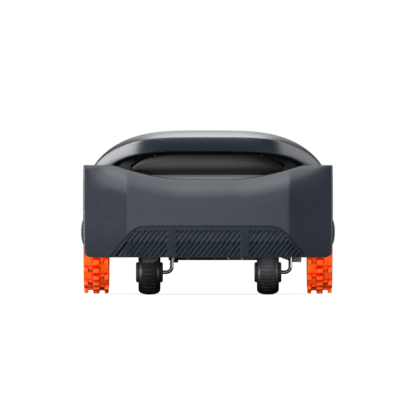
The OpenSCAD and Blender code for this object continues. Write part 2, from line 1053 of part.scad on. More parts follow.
module rain_sensor() {
    color(steel)
        for (x = [-14, 14])
            translate([x, rain_y, hood_z(rain_y) - 6])
                cylinder(r = 3, h = 7.5);
}

chassis_tub();
hood();
recess_bezel();
recess_ledge();
camera_window();
front_cameras();
pin_lights();
side_cover();  // side_cover_left
mirror([1, 0, 0]) side_cover();  // side_cover_right
fender();  // fender_left
mirror([1, 0, 0]) fender();  // fender_right
rear_cover();
charging_contacts();
control_tray();
display();
stop_bezel();
antenna_cover();
rain_sensor();
battery_tray();
battery_pack();
service_hatch();
main_board();
gear_motor();  // gear_motor_left
mirror([1, 0, 0]) gear_motor();  // gear_motor_right
at_caster(1) caster_bushing();  // caster_bushing_left
at_caster(-1) caster_bushing();  // caster_bushing_right
lift_frame();
lift_motor();
body_screws();
front_bumper();
front_grille();
grille_screen();
bumper_pins();
drive_tyre();  // drive_tyre_left
mirror([1, 0, 0]) drive_tyre();  // drive_tyre_right
drive_rim();  // drive_rim_left
mirror([1, 0, 0]) drive_rim();  // drive_rim_right
hub_cap();  // hub_cap_left
mirror([1, 0, 0]) hub_cap();  // hub_cap_right
drive_shaft();  // drive_shaft_left
mirror([1, 0, 0]) drive_shaft();  // drive_shaft_right
at_caster(1) caster_rod();  // caster_rod_left
at_caster(-1) caster_rod();  // caster_rod_right
at_caster(1) caster_tyre();  // caster_tyre_left
at_caster(-1) caster_tyre();  // caster_tyre_right
at_caster(1) caster_hub();  // caster_hub_left
at_caster(-1) caster_hub();  // caster_hub_right
motor_carriage();
blade_motor();
lift_screw();
blade_disc();
blade(0);  // blade_1
blade(1);  // blade_2
blade(2);  // blade_3
skid_plate();
control_lid();
stop_button();
key(0);  // key_power
key(1);  // key_home
key(2);  // key_start
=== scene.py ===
import json
import math

import bmesh
import bpy
from mathutils import Matrix, Vector


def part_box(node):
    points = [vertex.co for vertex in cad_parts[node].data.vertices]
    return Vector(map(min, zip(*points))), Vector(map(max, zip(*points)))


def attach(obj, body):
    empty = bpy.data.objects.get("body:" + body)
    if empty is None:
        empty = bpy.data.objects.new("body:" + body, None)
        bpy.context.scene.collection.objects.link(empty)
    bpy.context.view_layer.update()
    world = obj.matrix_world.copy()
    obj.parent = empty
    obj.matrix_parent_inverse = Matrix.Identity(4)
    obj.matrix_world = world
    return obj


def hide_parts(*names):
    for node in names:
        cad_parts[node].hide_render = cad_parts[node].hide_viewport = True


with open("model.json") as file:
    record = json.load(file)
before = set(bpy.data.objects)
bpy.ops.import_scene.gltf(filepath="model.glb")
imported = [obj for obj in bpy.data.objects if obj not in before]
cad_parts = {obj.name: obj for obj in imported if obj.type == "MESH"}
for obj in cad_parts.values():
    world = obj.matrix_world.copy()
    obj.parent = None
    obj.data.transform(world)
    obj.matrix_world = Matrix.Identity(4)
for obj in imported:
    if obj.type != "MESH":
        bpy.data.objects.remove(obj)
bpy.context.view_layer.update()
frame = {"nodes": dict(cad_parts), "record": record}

MM = 0.001

# ---------------------------------------------------------------- body lines, in millimetres
FRONT_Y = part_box("front_bumper")[0].y / MM
BUMPER_REAR_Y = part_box("front_bumper")[1].y / MM
BUMPER_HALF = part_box("front_bumper")[1].x / MM
BUMPER_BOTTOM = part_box("front_bumper")[0].z / MM
SHOULDER_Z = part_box("front_bumper")[1].z / MM
BUMPER_DIP = 25.0
DIP_INNER_X = 50.0
DIP_OUTER_X = 170.0
CORNER_R = 14.5
CREASE_X = 147.0
CROWN = 3.0
WING_SETBACK = 20.0
SHELL = 3.0

HOOD_FRONT_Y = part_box("hood")[0].y / MM
HOOD_REAR_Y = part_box("hood")[1].y / MM
HOOD_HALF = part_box("hood")[1].x / MM
HOOD_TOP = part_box("hood")[1].z / MM
SKIRT_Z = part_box("hood")[0].z / MM
CREST_Y = -190.0
CONTROL_Y = 40.0
STOP_Y = 150.0
ANTENNA_Y = 236.0
RECESS_BACK_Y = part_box("camera_window")[0].y / MM
WINDOW_TOP_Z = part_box("camera_window")[1].z / MM
WINDOW_BOTTOM_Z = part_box("camera_window")[0].z / MM

TYRE_LOW, TYRE_HIGH = (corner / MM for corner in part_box("drive_tyre_left"))
AXLE_Z = (TYRE_LOW.z + TYRE_HIGH.z) / 2
AXLE_Y = (TYRE_LOW.y + TYRE_HIGH.y) / 2
WHEEL_R = AXLE_Z
AXLE_X = (TYRE_LOW.x + TYRE_HIGH.x) / 2
AXLE = (AXLE_X, AXLE_Y, AXLE_Z)
TREAD_IN = TYRE_LOW.x
TREAD_OUT = TYRE_HIGH.x
FENDER_R = (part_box("fender_left")[1].z / MM) - AXLE_Z


# ---------------------------------------------------------------- mesh helpers
def link(obj):
    bpy.context.scene.collection.objects.link(obj)
    return obj


def mesh_object(name, points, faces):
    """A new object from points in millimetres."""
    mesh = bpy.data.meshes.new(name)
    mesh.from_pydata([(x * MM, y * MM, z * MM) for x, y, z in points], [], faces)
    mesh.validate()
    bm = bmesh.new()
    bm.from_mesh(mesh)
    bmesh.ops.recalc_face_normals(bm, faces=bm.faces)
    bm.to_mesh(mesh)
    bm.free()
    return link(bpy.data.objects.new(name, mesh))


def grid_faces(rows, cols, wrap_rows=False, wrap_cols=False):
    """Four-sided faces between neighbouring points of a grid, its ends joined if it wraps."""
    faces = []
    for i in range(rows if wrap_rows else rows - 1):
        for j in range(cols if wrap_cols else cols - 1):
            low, high = i * cols, (i + 1) % rows * cols
            step = (j + 1) % cols
            faces.append((low + j, low + step, high + step, high + j))
    return faces


def grid_object(name, rows, wrap_rows=False, wrap_cols=False, facing=None):
    """A sheet through rows of points, all rows the same length, turned to face a direction."""
    points = [p for row in rows for p in row]
    obj = mesh_object(name, points, grid_faces(len(rows), len(rows[0]), wrap_rows, wrap_cols))
    if facing:
        towards = Vector(facing)
        if sum(polygon.normal.dot(towards) * polygon.area for polygon in obj.data.polygons) < 0:
            obj.data.flip_normals()
    return obj


def apply_modifiers(obj):
    graph = bpy.context.evaluated_depsgraph_get()
    mesh = bpy.data.meshes.new_from_object(obj.evaluated_get(graph))
    obj.modifiers.clear()
    obj.data = mesh
    return obj


def thicken(obj, thickness, even=True):
    """Gives a sheet its wall, inwards from the drawn surface."""
    wall = obj.modifiers.new("wall", "SOLIDIFY")
    wall.thickness = thickness * MM
    wall.offset = -1.0
    wall.use_even_offset = even
    return apply_modifiers(obj)


def round_edges(obj, width, segments=2, angle=32.0):
    bevel = obj.modifiers.new("round", "BEVEL")
    bevel.width = width * MM
    bevel.segments = segments
    bevel.limit_method = "ANGLE"
    bevel.angle_limit = math.radians(angle)
    bevel.harden_normals = False
    bevel.use_clamp_overlap = True
    return apply_modifiers(obj)


def smooth(obj, angle=38.0):
    for polygon in obj.data.polygons:
        polygon.use_smooth = True
    obj.data.set_sharp_from_angle(angle=math.radians(angle))
    return obj


def cut(obj, cutter):
    """Takes the cutter's solid out of obj and removes the cutter."""
    hole = obj.modifiers.new("cut", "BOOLEAN")
    hole.operation = "DIFFERENCE"
    hole.solver = "EXACT"
    hole.object = cutter
    apply_modifiers(obj)
    bpy.data.objects.remove(cutter)
    return obj


def join(name, objects):
    """One object out of several."""
    merged = bmesh.new()
    for obj in objects:
        copy = obj.data.copy()
        copy.transform(obj.matrix_world)
        merged.from_mesh(copy)
        bpy.data.meshes.remove(copy)
        bpy.data.objects.remove(obj)
    mesh = bpy.data.meshes.new(name)
    merged.to_mesh(mesh)
    merged.free()
    return link(bpy.data.objects.new(name, mesh))


def move(obj, x=0.0, y=0.0):
    obj.data.transform(Matrix.Translation((x * MM, y * MM, 0)))
    return obj


def block(name, points):
    """Six-sided block: the corners of its lower face, then those of its upper face."""
    faces = [(0, 1, 3, 2), (4, 6, 7, 5), (0, 2, 6, 4), (1, 5, 7, 3), (0, 4, 5, 1), (2, 3, 7, 6)]
    return mesh_object(name, points, faces)


def prism(name, outline, low, high, axis="y"):
    """Solid between two planes, from an outline given in the other two axes."""
    n = len(outline)
    points = [
        {"x": (w, u, v), "y": (u, w, v), "z": (u, v, w)}[axis]
        for w in (low, high) for u, v in outline
    ]
    faces = [tuple(range(n)), tuple(range(2 * n - 1, n - 1, -1))]
    faces += [(i, (i + 1) % n, n + (i + 1) % n, n + i) for i in range(n)]
    return mesh_object(name, points, faces)


def lathe(name, profile, centre, axis="x", steps=64, closed=True):
    """Turned solid: profile points are (along the axis, radius) from centre."""
    rows = []
    for i in range(steps):
        turn = 2 * math.pi * i / steps
        row = []
        for along, radius in profile:
            u, v = radius * math.cos(turn), radius * math.sin(turn)
            offset = {"x": (along, u, v), "y": (u, along, v), "z": (u, v, along)}[axis]
            row.append(tuple(c + o for c, o in zip(centre, offset)))
        rows.append(row)
    obj = grid_object(name, rows, wrap_rows=True, wrap_cols=closed)
    bm = bmesh.new()
    bm.from_mesh(obj.data)
    bmesh.ops.remove_doubles(bm, verts=bm.verts, dist=1e-6)
    bmesh.ops.recalc_face_normals(bm, faces=bm.faces)
    bm.to_mesh(obj.data)
    bm.free()
    return obj


def arc(centre, radius, start, end, steps):
    """Points on an arc in a plane, angles in degrees."""
    turns = [math.radians(start + (end - start) * i / steps) for i in range(steps + 1)]
    return [(centre[0] + radius * math.cos(a), centre[1] + radius * math.sin(a)) for a in turns]


def mirror_x(obj, name):
    """The mirror image of obj on the machine's other side."""
    mesh = obj.data.copy()
    mesh.transform(Matrix.Scale(-1, 4, (1, 0, 0)))
    mesh.flip_normals()
    return link(bpy.data.objects.new(name, mesh))


def span(low, high, count):
    return [low + (high - low) * i / (count - 1) for i in range(count)]


def ease(t):
    t = min(1.0, max(0.0, t))
    return t * t * (3 - 2 * t)


# ---------------------------------------------------------------- materials
class Nodes:
    """Small builder for a procedural material."""

    def __init__(self, name):
        self.material = bpy.data.materials.new(name)
        self.material.use_nodes = True
        self.tree = self.material.node_tree
        self.shader = self.tree.nodes["Principled BSDF"]
        self.place = self.add("ShaderNodeTexCoord").outputs["Object"]

    def add(self, kind, **values):
        node = self.tree.nodes.new(kind)
        for key, value in values.items():
            if key in node.inputs:
                node.inputs[key].default_value = value
            else:
                setattr(node, key, value)
        return node

    def join(self, source, target):
        self.tree.links.new(source, target)

    def noise(self, scale, detail=3.0, stretch=None):
        node = self.add("ShaderNodeTexNoise")
        node.inputs["Scale"].default_value = scale
        node.inputs["Detail"].default_value = detail
        source = self.place
        if stretch:
            mapping = self.add("ShaderNodeMapping")
            mapping.inputs["Scale"].default_value = stretch
            self.join(self.place, mapping.inputs["Vector"])
            source = mapping.outputs["Vector"]
        self.join(source, node.inputs["Vector"])
        return node.outputs["Fac"]

    def ramp(self, source, stops):
        node = self.add("ShaderNodeValToRGB")
        elements = node.color_ramp.elements
        while len(elements) < len(stops):
            elements.new(0.5)
        for element, (position, value) in zip(elements, stops):
            element.position = position
            colour = value if isinstance(value, tuple) else (value, value, value)
            element.color = (*colour, 1.0)
        self.join(source, node.inputs["Fac"])
        return node.outputs["Color"]

    def mix(self, share, first, second, blend="MIX"):
        node = self.add("ShaderNodeMix", data_type="RGBA", blend_type=blend)
        for source, socket in ((share, 0), (first, 6), (second, 7)):
            if isinstance(source, (int, float)):
                node.inputs[socket].default_value = source
            elif isinstance(source, tuple):
                node.inputs[socket].default_value = (*source, 1.0)
            else:
                self.join(source, node.inputs[socket])
        return node.outputs[2]

    def bump(self, height, strength, distance):
        node = self.add("ShaderNodeBump")
        node.inputs["Strength"].default_value = strength
        node.inputs["Distance"].default_value = distance
        self.join(height, node.inputs["Height"])
        return node.outputs["Normal"]

    def edge_wear(self):
        """Bright on worn outer edges, from the shape's own pointiness."""
        geometry = self.add("ShaderNodeNewGeometry")
        return self.ramp(geometry.outputs["Pointiness"], [(0.53, 0.0), (0.62, 1.0)])


def plastic(
    name, colour, roughness=0.42, grain=0.12, grain_scale=2600.0, wear=0.25, specular=0.5, coat=0.0
):
    """Moulded plastic: spark-eroded grain, faint cloudiness and rubbed edges."""
    n = Nodes(name)
    cloud = n.noise(9.0, 4.0)
    light = tuple(min(1.0, c * 1.05) for c in colour)
    dark = tuple(c * 0.96 for c in colour)
    base = n.ramp(cloud, [(0.3, dark), (0.7, light)])
    speckle = n.ramp(n.noise(grain_scale * 0.5, 2.0), [(0.35, 0.93), (0.65, 1.05)])
    base = n.mix(1.0, base, speckle, "MULTIPLY")
    worn = tuple(min(1.0, c * 1.5 + 0.02) for c in colour)
    share = n.mix(1.0, n.edge_wear(), (wear, wear, wear), "MULTIPLY")
    base = n.mix(share, base, worn)
    n.join(base, n.shader.inputs["Base Color"])
    rough = n.ramp(n.noise(40.0, 3.0), [(0.25, roughness - 0.012), (0.75, roughness + 0.015)])
    n.join(rough, n.shader.inputs["Roughness"])
    n.join(n.bump(n.noise(grain_scale, 2.0), grain, 0.0002), n.shader.inputs["Normal"])
    n.shader.inputs["Specular IOR Level"].default_value = specular
    n.shader.inputs["Coat Weight"].default_value = coat
    return n.material


def rubber(name, colour, roughness=0.55, dust=0.1, dust_colour=(0.35, 0.3, 0.25), hollow_shade=None):
    """Moulded rubber with a matt surface, a little dust and, if given, a darker colour painted into its
    hollows as shade, from ambient occlusion.
    """
    n = Nodes(name)
    base = n.ramp(n.noise(22.0, 5.0), [(0.3, tuple(c * 0.88 for c in colour)), (0.7, colour)])
    patches = n.ramp(n.noise(60.0, 6.0), [(0.52, 0.0), (0.75, dust)])
    base = n.mix(patches, base, dust_colour)
    if hollow_shade:
        # Painted shade: where ambient occlusion finds a hollow, such as between the lugs, the colour turns to
        # the given darker one.
        depth = n.add("ShaderNodeAmbientOcclusion", Distance=0.02)
        base = n.mix(n.ramp(depth.outputs["AO"], [(0.6, 0.0), (0.95, 1.0)]), hollow_shade, base)
    n.join(base, n.shader.inputs["Base Color"])
    rough = n.ramp(n.noise(35.0, 4.0), [(0.3, roughness - 0.06), (0.7, roughness + 0.08)])
    n.join(rough, n.shader.inputs["Roughness"])
    n.join(n.bump(n.noise(1400.0, 3.0), 0.18, 0.0003), n.shader.inputs["Normal"])
    n.shader.inputs["Specular IOR Level"].default_value = 0.3
    return n.material


def metal(name, colour, roughness=0.25, brush=(1.0, 1.0, 1.0), scratches=0.08):
    """Metal with brush marks along one direction and slight tarnish."""
    n = Nodes(name)
    n.shader.inputs["Metallic"].default_value = 1.0
    lines = n.noise(300.0, 4.0, brush)
    tarnish = n.ramp(n.noise(18.0, 5.0), [(0.35, tuple(c * 0.85 for c in colour)), (0.65, colour)])
    n.join(tarnish, n.shader.inputs["Base Color"])
    rough = n.ramp(lines, [(0.3, max(0.03, roughness - 0.07)), (0.7, roughness + 0.1)])
    n.join(rough, n.shader.inputs["Roughness"])
    n.join(n.bump(lines, scratches, 0.0002), n.shader.inputs["Normal"])
    return n.material


SLOT_MATERIALS = {
    "slate": plastic("slate_plastic", (0.018, 0.023, 0.033), roughness=0.27, wear=0.12),
    "grille": plastic("grille_plastic", (0.009, 0.0145, 0.024), roughness=0.42, specular=0.3),
    "screen": plastic("screen_plastic", (0.016, 0.03, 0.055), roughness=0.6, grain=0.4, grain_scale=900.0),
    "black_plastic": plastic("black_plastic", (0.014, 0.014, 0.016), roughness=0.5),
    # Recess walls: black plastic, made darker still as painted shade for the shadow inside the recess.
    "recess_black": plastic("recess_black", (0.004, 0.004, 0.0045), roughness=0.5, wear=0.0, specular=0.2),
    "ledge": plastic("ledge_plastic", (0.135, 0.14, 0.153), roughness=0.35),
    "smoked_window": plastic(
        "smoked_window", (0.0045, 0.0045, 0.0047), roughness=0.24, grain=0.01, wear=0.0, coat=0.1
    ),
    "light": plastic("light_pipe", (0.3, 0.32, 0.34), roughness=0.2, grain=0.02, wear=0.0),
    # The deep red given for the orange rubber's hollows is painted shade between the tyre lugs.
    "orange_rubber": rubber(
        "orange_rubber", (0.9, 0.1, 0.01), roughness=0.42,
        dust=0.05, dust_colour=(0.6, 0.16, 0.05), hollow_shade=(0.42, 0.004, 0.0),
    ),
    "black_rubber": rubber(
        "black_rubber", (0.005, 0.005, 0.0053), roughness=0.36, dust=0.02, dust_colour=(0.08, 0.075, 0.07)
    ),
    "chrome": metal("bright_rod", (0.34, 0.345, 0.36), roughness=0.2, brush=(1.0, 1.0, 12.0), scratches=0.03),
    "steel": metal("brushed_steel", (0.5, 0.51, 0.53), roughness=0.3, brush=(1.0, 14.0, 1.0)),
    "brass": metal("plated_brass", (0.78, 0.58, 0.28), roughness=0.28, brush=(12.0, 1.0, 1.0)),
    "motor_can": metal("motor_can", (0.2, 0.2, 0.21), roughness=0.4, brush=(1.0, 1.0, 8.0)),
    "board": plastic("board_green", (0.01, 0.09, 0.035), roughness=0.3, grain=0.3, grain_scale=500.0),
    "battery": plastic("battery_case", (0.03, 0.034, 0.045), roughness=0.5),
    "display_glass": plastic(
        "display_glass", (0.004, 0.008, 0.012), roughness=0.07, grain=0.0, wear=0.0, coat=1.0
    ),
    "red": plastic("stop_red", (0.62, 0.012, 0.008), roughness=0.28, grain=0.05, coat=0.3),
    "yellow": plastic("ring_yellow", (0.82, 0.5, 0.02), roughness=0.35, grain=0.06),
    "key_grey": plastic("key_grey", (0.36, 0.38, 0.42), roughness=0.5),
    "orange_plastic": plastic("disc_orange", (0.8, 0.14, 0.02), roughness=0.45),
    "lid": plastic("lid_plastic", (0.018, 0.02, 0.024), roughness=0.24, grain=0.05, coat=0.4),
}
BAFFLE = plastic("baffle_plastic", (0.034, 0.05, 0.078), roughness=0.6)
HUB_SILVER = metal(
    "hub_silver", (0.62, 0.63, 0.65), roughness=0.34, brush=(14.0, 1.0, 1.0), scratches=0.03
)
# Pale grey painted on the deck ribs as the light they catch: the ribs are part of the black tub and sit in
# the bumper's shade.
RIB_PAINTED_LIGHT = plastic("rib_painted_light", (0.45, 0.45, 0.46), roughness=0.4)
NODE_SLOT = {row["node"]: row["material_slot"] for row in frame["record"]["subparts"]}

# Width of the softened edges of the CAD parts that stay in view
SOFT_EDGED = {
    "chassis_tub": 0.5, "control_tray": 0.6, "display": 0.4,
    "key_power": 0.6, "key_home": 0.6, "key_start": 0.6,
    "service_hatch": 0.5, "battery_pack": 1.2, "battery_tray": 0.4, "lift_frame": 0.5, "motor_carriage": 0.6,
    "rain_sensor": 0.5, "main_board": 0.2, "front_cameras": 0.4, "charging_contacts": 0.3, "skid_plate": 0.4,
    "blade_disc": 0.4, "gear_motor_left": 0.4, "gear_motor_right": 0.4, "lift_motor": 0.4, "blade_motor": 0.4,
}


def dress_cad_nodes():
    """Gives every carried-over CAD node its slot's material."""
    for name, obj in frame["nodes"].items():
        obj.data.materials.clear()
        obj.data.materials.append(SLOT_MATERIALS[NODE_SLOT[name]])
        smooth(obj, 30.0)
        if name in SOFT_EDGED:
            bevel = obj.modifiers.new("soft_edge", "BEVEL")
            bevel.width = SOFT_EDGED[name] * MM
            bevel.segments = 2
            bevel.limit_method = "ANGLE"
            bevel.angle_limit = math.radians(40)


def finish_detail(obj, node, material):
    """A detail that rides with a node's body, in its own material."""
    obj.data.materials.clear()
    obj.data.materials.append(material)
    bodies = frame["record"]["behaviour"]["bodies"]
    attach(obj, next(body for body, nodes in bodies.items() if node in nodes))


def finish_piece(obj, node):
    """The piece takes the CAD node's place, body and material."""
    finish_detail(obj, node, SLOT_MATERIALS[NODE_SLOT[node]])
    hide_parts(node)


def finish_pair(piece, twin_name, node):
    """A left-hand piece and its mirror image take the places of a pair of CAD nodes."""
    twin = mirror_x(piece, twin_name)
    finish_piece(piece, node + "_left")
    finish_piece(twin, node + "_right")
    return piece, twin


# ---------------------------------------------------------------- front bumper
def raw_bumper_top(x):
    share = min(1.0, max(0.0, (abs(x) - DIP_INNER_X) / (DIP_OUTER_X - DIP_INNER_X)))
    return SHOULDER_Z - BUMPER_DIP * (1 - share ** 1.6)


def bumper_top(x):
    """Top edge of the bumper, its shoulder softened by averaging."""
    return sum(raw_bumper_top(x + step) for step in (-8, -4, 0, 4, 8)) / 5


def tuck(z):
    """How far the bumper's face turns under towards its lower edge."""
    return 2.4 * max(0.0, (118 - z) / 50) ** 2


def bumper_face_y(x):
    if abs(x) <= CREASE_X:
        return FRONT_Y + CROWN * (x / CREASE_X) ** 2
    return FRONT_Y + CROWN + WING_SETBACK * (abs(x) - CREASE_X) / (BUMPER_HALF - CREASE_X)


GRILLE_HALF = 178.0
GRILLE_TOP = 124.0
GRILLE_LEAN = math.tan(math.radians(52.0))


def grille_top(x):
    """Upper boundary of the intake panel: a flat top that rounds into slanted ends."""
    side = BUMPER_BOTTOM + (GRILLE_HALF - abs(x)) * GRILLE_LEAN
    soft = 9.0
    return -soft * math.log(math.exp(-side / soft) + math.exp(-GRILLE_TOP / soft))


def bumper_low(x):
    if abs(x) < GRILLE_HALF:
        return max(BUMPER_BOTTOM, grille_top(x))
    over = abs(x) - (BUMPER_HALF - CORNER_R)
    if over <= 0:
        return BUMPER_BOTTOM
    return BUMPER_BOTTOM + CORNER_R - math.sqrt(max(0.0, CORNER_R ** 2 - over ** 2))


WING_CORNER = 3.0
LIP_FADE_X = 165.0
MIDDLE_LEAN, END_LEAN = 14.0, 0.5
MIDDLE_LIP, END_LIP = 4.0, 0.5


def bumper_path():
    """Plan stations from the middle to the rear of one side: x, y, inward direction, lean, lip."""
    bend = BUMPER_HALF - WING_CORNER
    xs = span(0, CREASE_X - 0.5, 28) + span(CREASE_X + 0.5, GRILLE_HALF, 8) + span(GRILLE_HALF + 1.5, bend, 9)
    stations = []
    for x in xs:
        fall = ease((x - LIP_FADE_X) / (bend - LIP_FADE_X))
        lean = MIDDLE_LEAN - (MIDDLE_LEAN - END_LEAN) * fall
        lip = MIDDLE_LIP - (MIDDLE_LIP - END_LIP) * fall
        stations.append((x, bumper_face_y(x), (0, 1), lean, lip))
    start = (bend, bumper_face_y(bend))
    knee = (BUMPER_HALF, bumper_face_y(BUMPER_HALF))
    end = (BUMPER_HALF, knee[1] + WING_CORNER)
    for i in range(1, 8):
        t = i / 7
        x = (1 - t) ** 2 * start[0] + 2 * t * (1 - t) * knee[0] + t * t * end[0]
        y = (1 - t) ** 2 * start[1] + 2 * t * (1 - t) * knee[1] + t * t * end[1]
        turn = math.radians(90 * t)
        stations.append((x, y, (-math.sin(turn), math.cos(turn)), END_LEAN, END_LIP))
    for y in span(end[1] + 8, BUMPER_REAR_Y, 12):
        stations.append((BUMPER_HALF, y, (-1, 0), END_LEAN, END_LIP))
    return stations


def bumper_column(station, side):
    """Points from the lower edge to the lip, at one station of one side."""
    x, y, (nx, ny), lean, lip = station
    low = bumper_low(min(x, BUMPER_HALF))
    top = bumper_top(x)
    edge = top - 2.2
    fade = 50.0
    roll = 0.4 + lip * 0.15
    column = []
    for t in span(0, 1, 30):
        z = low + (edge - low) * t
        column.append((lean * max(0.0, (z - (top - fade)) / fade) ** 2 + tuck(z), z))
    depth = column[-1][0]
    column += [(depth + 0.9 * roll, top - 1.1), (depth + 2.2 * roll, top - 0.35)]
    column += [(depth + 4.0 * roll, top), (depth + 4.0 * roll + lip, top - 0.5)]
    return [(side * (x + nx * d), y + ny * d, z) for d, z in column]


def make_front_bumper():
    path = bumper_path()
    rows = [bumper_column(station, -1) for station in reversed(path[1:])]
    rows += [bumper_column(station, 1) for station in path]
    shell = grid_object("front_bumper_shell", rows, facing=(0, -1, 0))
    thicken(shell, SHELL, even=False)
    round_edges(shell, 0.6, 3, 50.0)
    finish_piece(smooth(shell, 30.0), "front_bumper")


# ---------------------------------------------------------------- intake panel
def clip(polygon, px, pz, nx, nz):
    """The part of a polygon on the side of a line that its normal points to."""
    kept = []
    for i, a in enumerate(polygon):
        b = polygon[(i + 1) % len(polygon)]
        da = (a[0] - px) * nx + (a[1] - pz) * nz
        db = (b[0] - px) * nx + (b[1] - pz) * nz
        if da >= 0:
            kept.append(a)
        if (da >= 0) != (db >= 0):
            t = da / (da - db)
            kept.append((a[0] + (b[0] - a[0]) * t, a[1] + (b[1] - a[1]) * t))
    return kept


SLOT_PITCH = 9.2
SLOT_WIDTH = 5.8
SLOT_TOP = 115.0
SLOT_BOTTOM = BUMPER_BOTTOM + 1.2
SLOT_GROUPS = ((-170.0, -74.0), (-58.0, 58.0), (74.0, 170.0))
SMALLEST_SLOT = 12.0


def area(outline):
    pairs = zip(outline, outline[1:] + outline[:1])
    return abs(sum(a[0] * b[1] - b[0] * a[1] for a, b in pairs)) / 2


def slot_outlines():
    """Slanted slots of the three fields, cut off at the fields' own ends."""
    shift = (SLOT_TOP - SLOT_BOTTOM) / GRILLE_LEAN
    leftmost, rightmost = SLOT_GROUPS[0][0], SLOT_GROUPS[-1][1]
    outlines = []
    for low_x, high_x in SLOT_GROUPS:
        for i in range(-6, 14):
            x = low_x + 1 + i * SLOT_PITCH
            outline = [
                (x, SLOT_BOTTOM), (x + SLOT_WIDTH, SLOT_BOTTOM),
                (x + SLOT_WIDTH + shift, SLOT_TOP), (x + shift, SLOT_TOP),
            ]
            if low_x > leftmost:
                outline = clip(outline, low_x, 0, 1, 0)
            if high_x < rightmost:
                outline = clip(outline, high_x, 0, -1, 0)
            if low_x == leftmost:
                outline = clip(outline, low_x, SLOT_BOTTOM, GRILLE_LEAN, -1)
            if high_x == rightmost:
                outline = clip(outline, high_x, SLOT_BOTTOM, -GRILLE_LEAN, -1)
            if len(outline) >= 3 and area(outline) > SMALLEST_SLOT:
                outlines.append(outline)
    return outlines


def grille_sheet(name, depth, low_z, high_z, half, rearmost=0.0):
    """Sheet a given depth behind the bumper's face, under the intake panel's outline."""
    sheet = []
    for x in span(-half, half, 72):
        high = max(low_z + 0.4, min(high_z, grille_top(x) - 0.4))
        face_y = bumper_face_y(x) + depth
        sheet.append([(x, min(face_y + tuck(z), rearmost), z) for z in span(low_z, high, 10)])
    return grid_object(name, sheet, facing=(0, -1, 0))


def make_front_grille():
    panel = grille_sheet("front_grille_panel", 1.6, BUMPER_BOTTOM, GRILLE_TOP, GRILLE_HALF - 0.6)
    thicken(panel, 2.6)
    cutters = [prism("slot", outline, FRONT_Y - 5, FRONT_Y + 25) for outline in slot_outlines()]
    cut(panel, join("slots", cutters))
    round_edges(panel, 0.35, 2, 45.0)
    rows = []
    for x in span(-GRILLE_HALF + 2, GRILLE_HALF - 2, 60):
        front = bumper_face_y(x) + tuck(BUMPER_BOTTOM) + 2.0
        rows.append([(x, y, BUMPER_BOTTOM + 0.05) for y in (front, front + 6, front + 10)])
    floor = thicken(grid_object("grille_floor", rows, facing=(0, 0, -1)), 1.0)
    panel = join("front_grille_louvred", [panel, floor])
    finish_piece(smooth(panel, 30.0), "front_grille")
    screen = grille_sheet("grille_screen_low", 9.0, BUMPER_BOTTOM + 0.6, 97, 176)
    baffle = grille_sheet("grille_screen_high", 4.5, 96, 121, 156, rearmost=FRONT_Y + 7.8)
    thicken(screen, 1.2)
    thicken(baffle, 0.8)
    finish_piece(smooth(screen), "grille_screen")
    finish_piece(smooth(baffle), "grille_screen")
    baffle.data.materials[0] = BAFFLE


# ---------------------------------------------------------------- hood
def hood_height(y):
    if y < CREST_Y:
        return HOOD_TOP - 13 * ((CREST_Y - y) / (CREST_Y - HOOD_FRONT_Y)) ** 2
    return HOOD_TOP - 65 * ((y - CREST_Y) / (HOOD_REAR_Y - CREST_Y)) ** 2.2


def hood_slope(y):
    return math.atan((hood_height(y - 1) - hood_height(y + 1)) / 2)


def on_hood(y):
    """Transform of the frame on the hood's surface at one station, in metres."""
    return Matrix.Translation((0, y * MM, hood_height(y) * MM)) @ Matrix.Rotation(-hood_slope(y), 4, "X")


FOOT_Z = 234.0
ARCH_TURNS = span(-90, 90, 65)
LEG_STEPS = 6
REAR_ROUND = 26.0


def arch_drop(share, power):
    """Fall of an arch below its crown, as a share of its height, at a share of its half width."""
    return 1 - (1 - min(1.0, share) ** power) ** 0.85


def arch_row(half, top, power, y_at, leg_z):
    """One rib of the hood: down the right leg, over the arch and down the left leg."""
    legs = span(leg_z, FOOT_Z, LEG_STEPS + 1)[:-1]
    row = [(-half, y_at(-90), z) for z in legs]
    for turn in ARCH_TURNS:
        x = half * math.sin(math.radians(turn))
        row.append((x, y_at(turn), top - (top - FOOT_Z) * arch_drop(abs(x) / half, power)))
    row += [(half, y_at(90), z) for z in reversed(legs)]
    return row


def blend_rows(first, second, share):
    return [
        tuple(a + (b - a) * share for a, b in zip(p, q))
        for p, q in zip(first, second)
    ]


BAND_HALF = 171.0
BAND_TOP = 259.0
BAND_LEAN = 4.5
CREASE_HALF = 203.5
CREASE_TOP = 284.0
BEND_START = 80.0
BEND_LENGTH = 62.0
END_SLOPE = 0.58
REAR_CORNER = 90.0


def band_setback(x):
    """Plan curve of the band: straight middle, a bend, then slanted straight ends."""
    past = abs(x) - BEND_START
    t = min(1.0, max(0.0, past / BEND_LENGTH))
    return END_SLOPE * (BEND_LENGTH * (t ** 3 - t ** 4 / 2) + max(0.0, past - BEND_LENGTH))


def crease_setback(turn):
    """How far the band's crease falls back towards its two ends."""
    return band_setback((CREASE_HALF + 0.5) * math.sin(math.radians(turn)))


def band_lower_row(inset=0.0, back=0.0):
    """Lower edge of the carrying band, which leans back most in its middle."""
    half = BAND_HALF - inset

    def y_at(turn):
        x = half * math.sin(math.radians(turn))
        lean = BAND_LEAN * (1 - ease((abs(x) - BEND_START) / BEND_LENGTH))
        return HOOD_FRONT_Y + lean + band_setback(x) + back

    return arch_row(half, BAND_TOP - inset, 4.1, y_at, SKIRT_Z)


def crease_row():
    return arch_row(CREASE_HALF, CREASE_TOP, 4.0, lambda turn: HOOD_FRONT_Y + crease_setback(turn), SKIRT_Z)


def wheel_arch_low(y):
    """Lower edge of the hood's side: its skirt, or the fender where that is higher."""
    reach = FENDER_R + 0.5
    over = reach ** 2 - (y - AXLE_Y) ** 2
    return SKIRT_Z if over <= 0 else min(FOOT_Z - 1.0, max(SKIRT_Z, AXLE_Z + math.sqrt(over)))


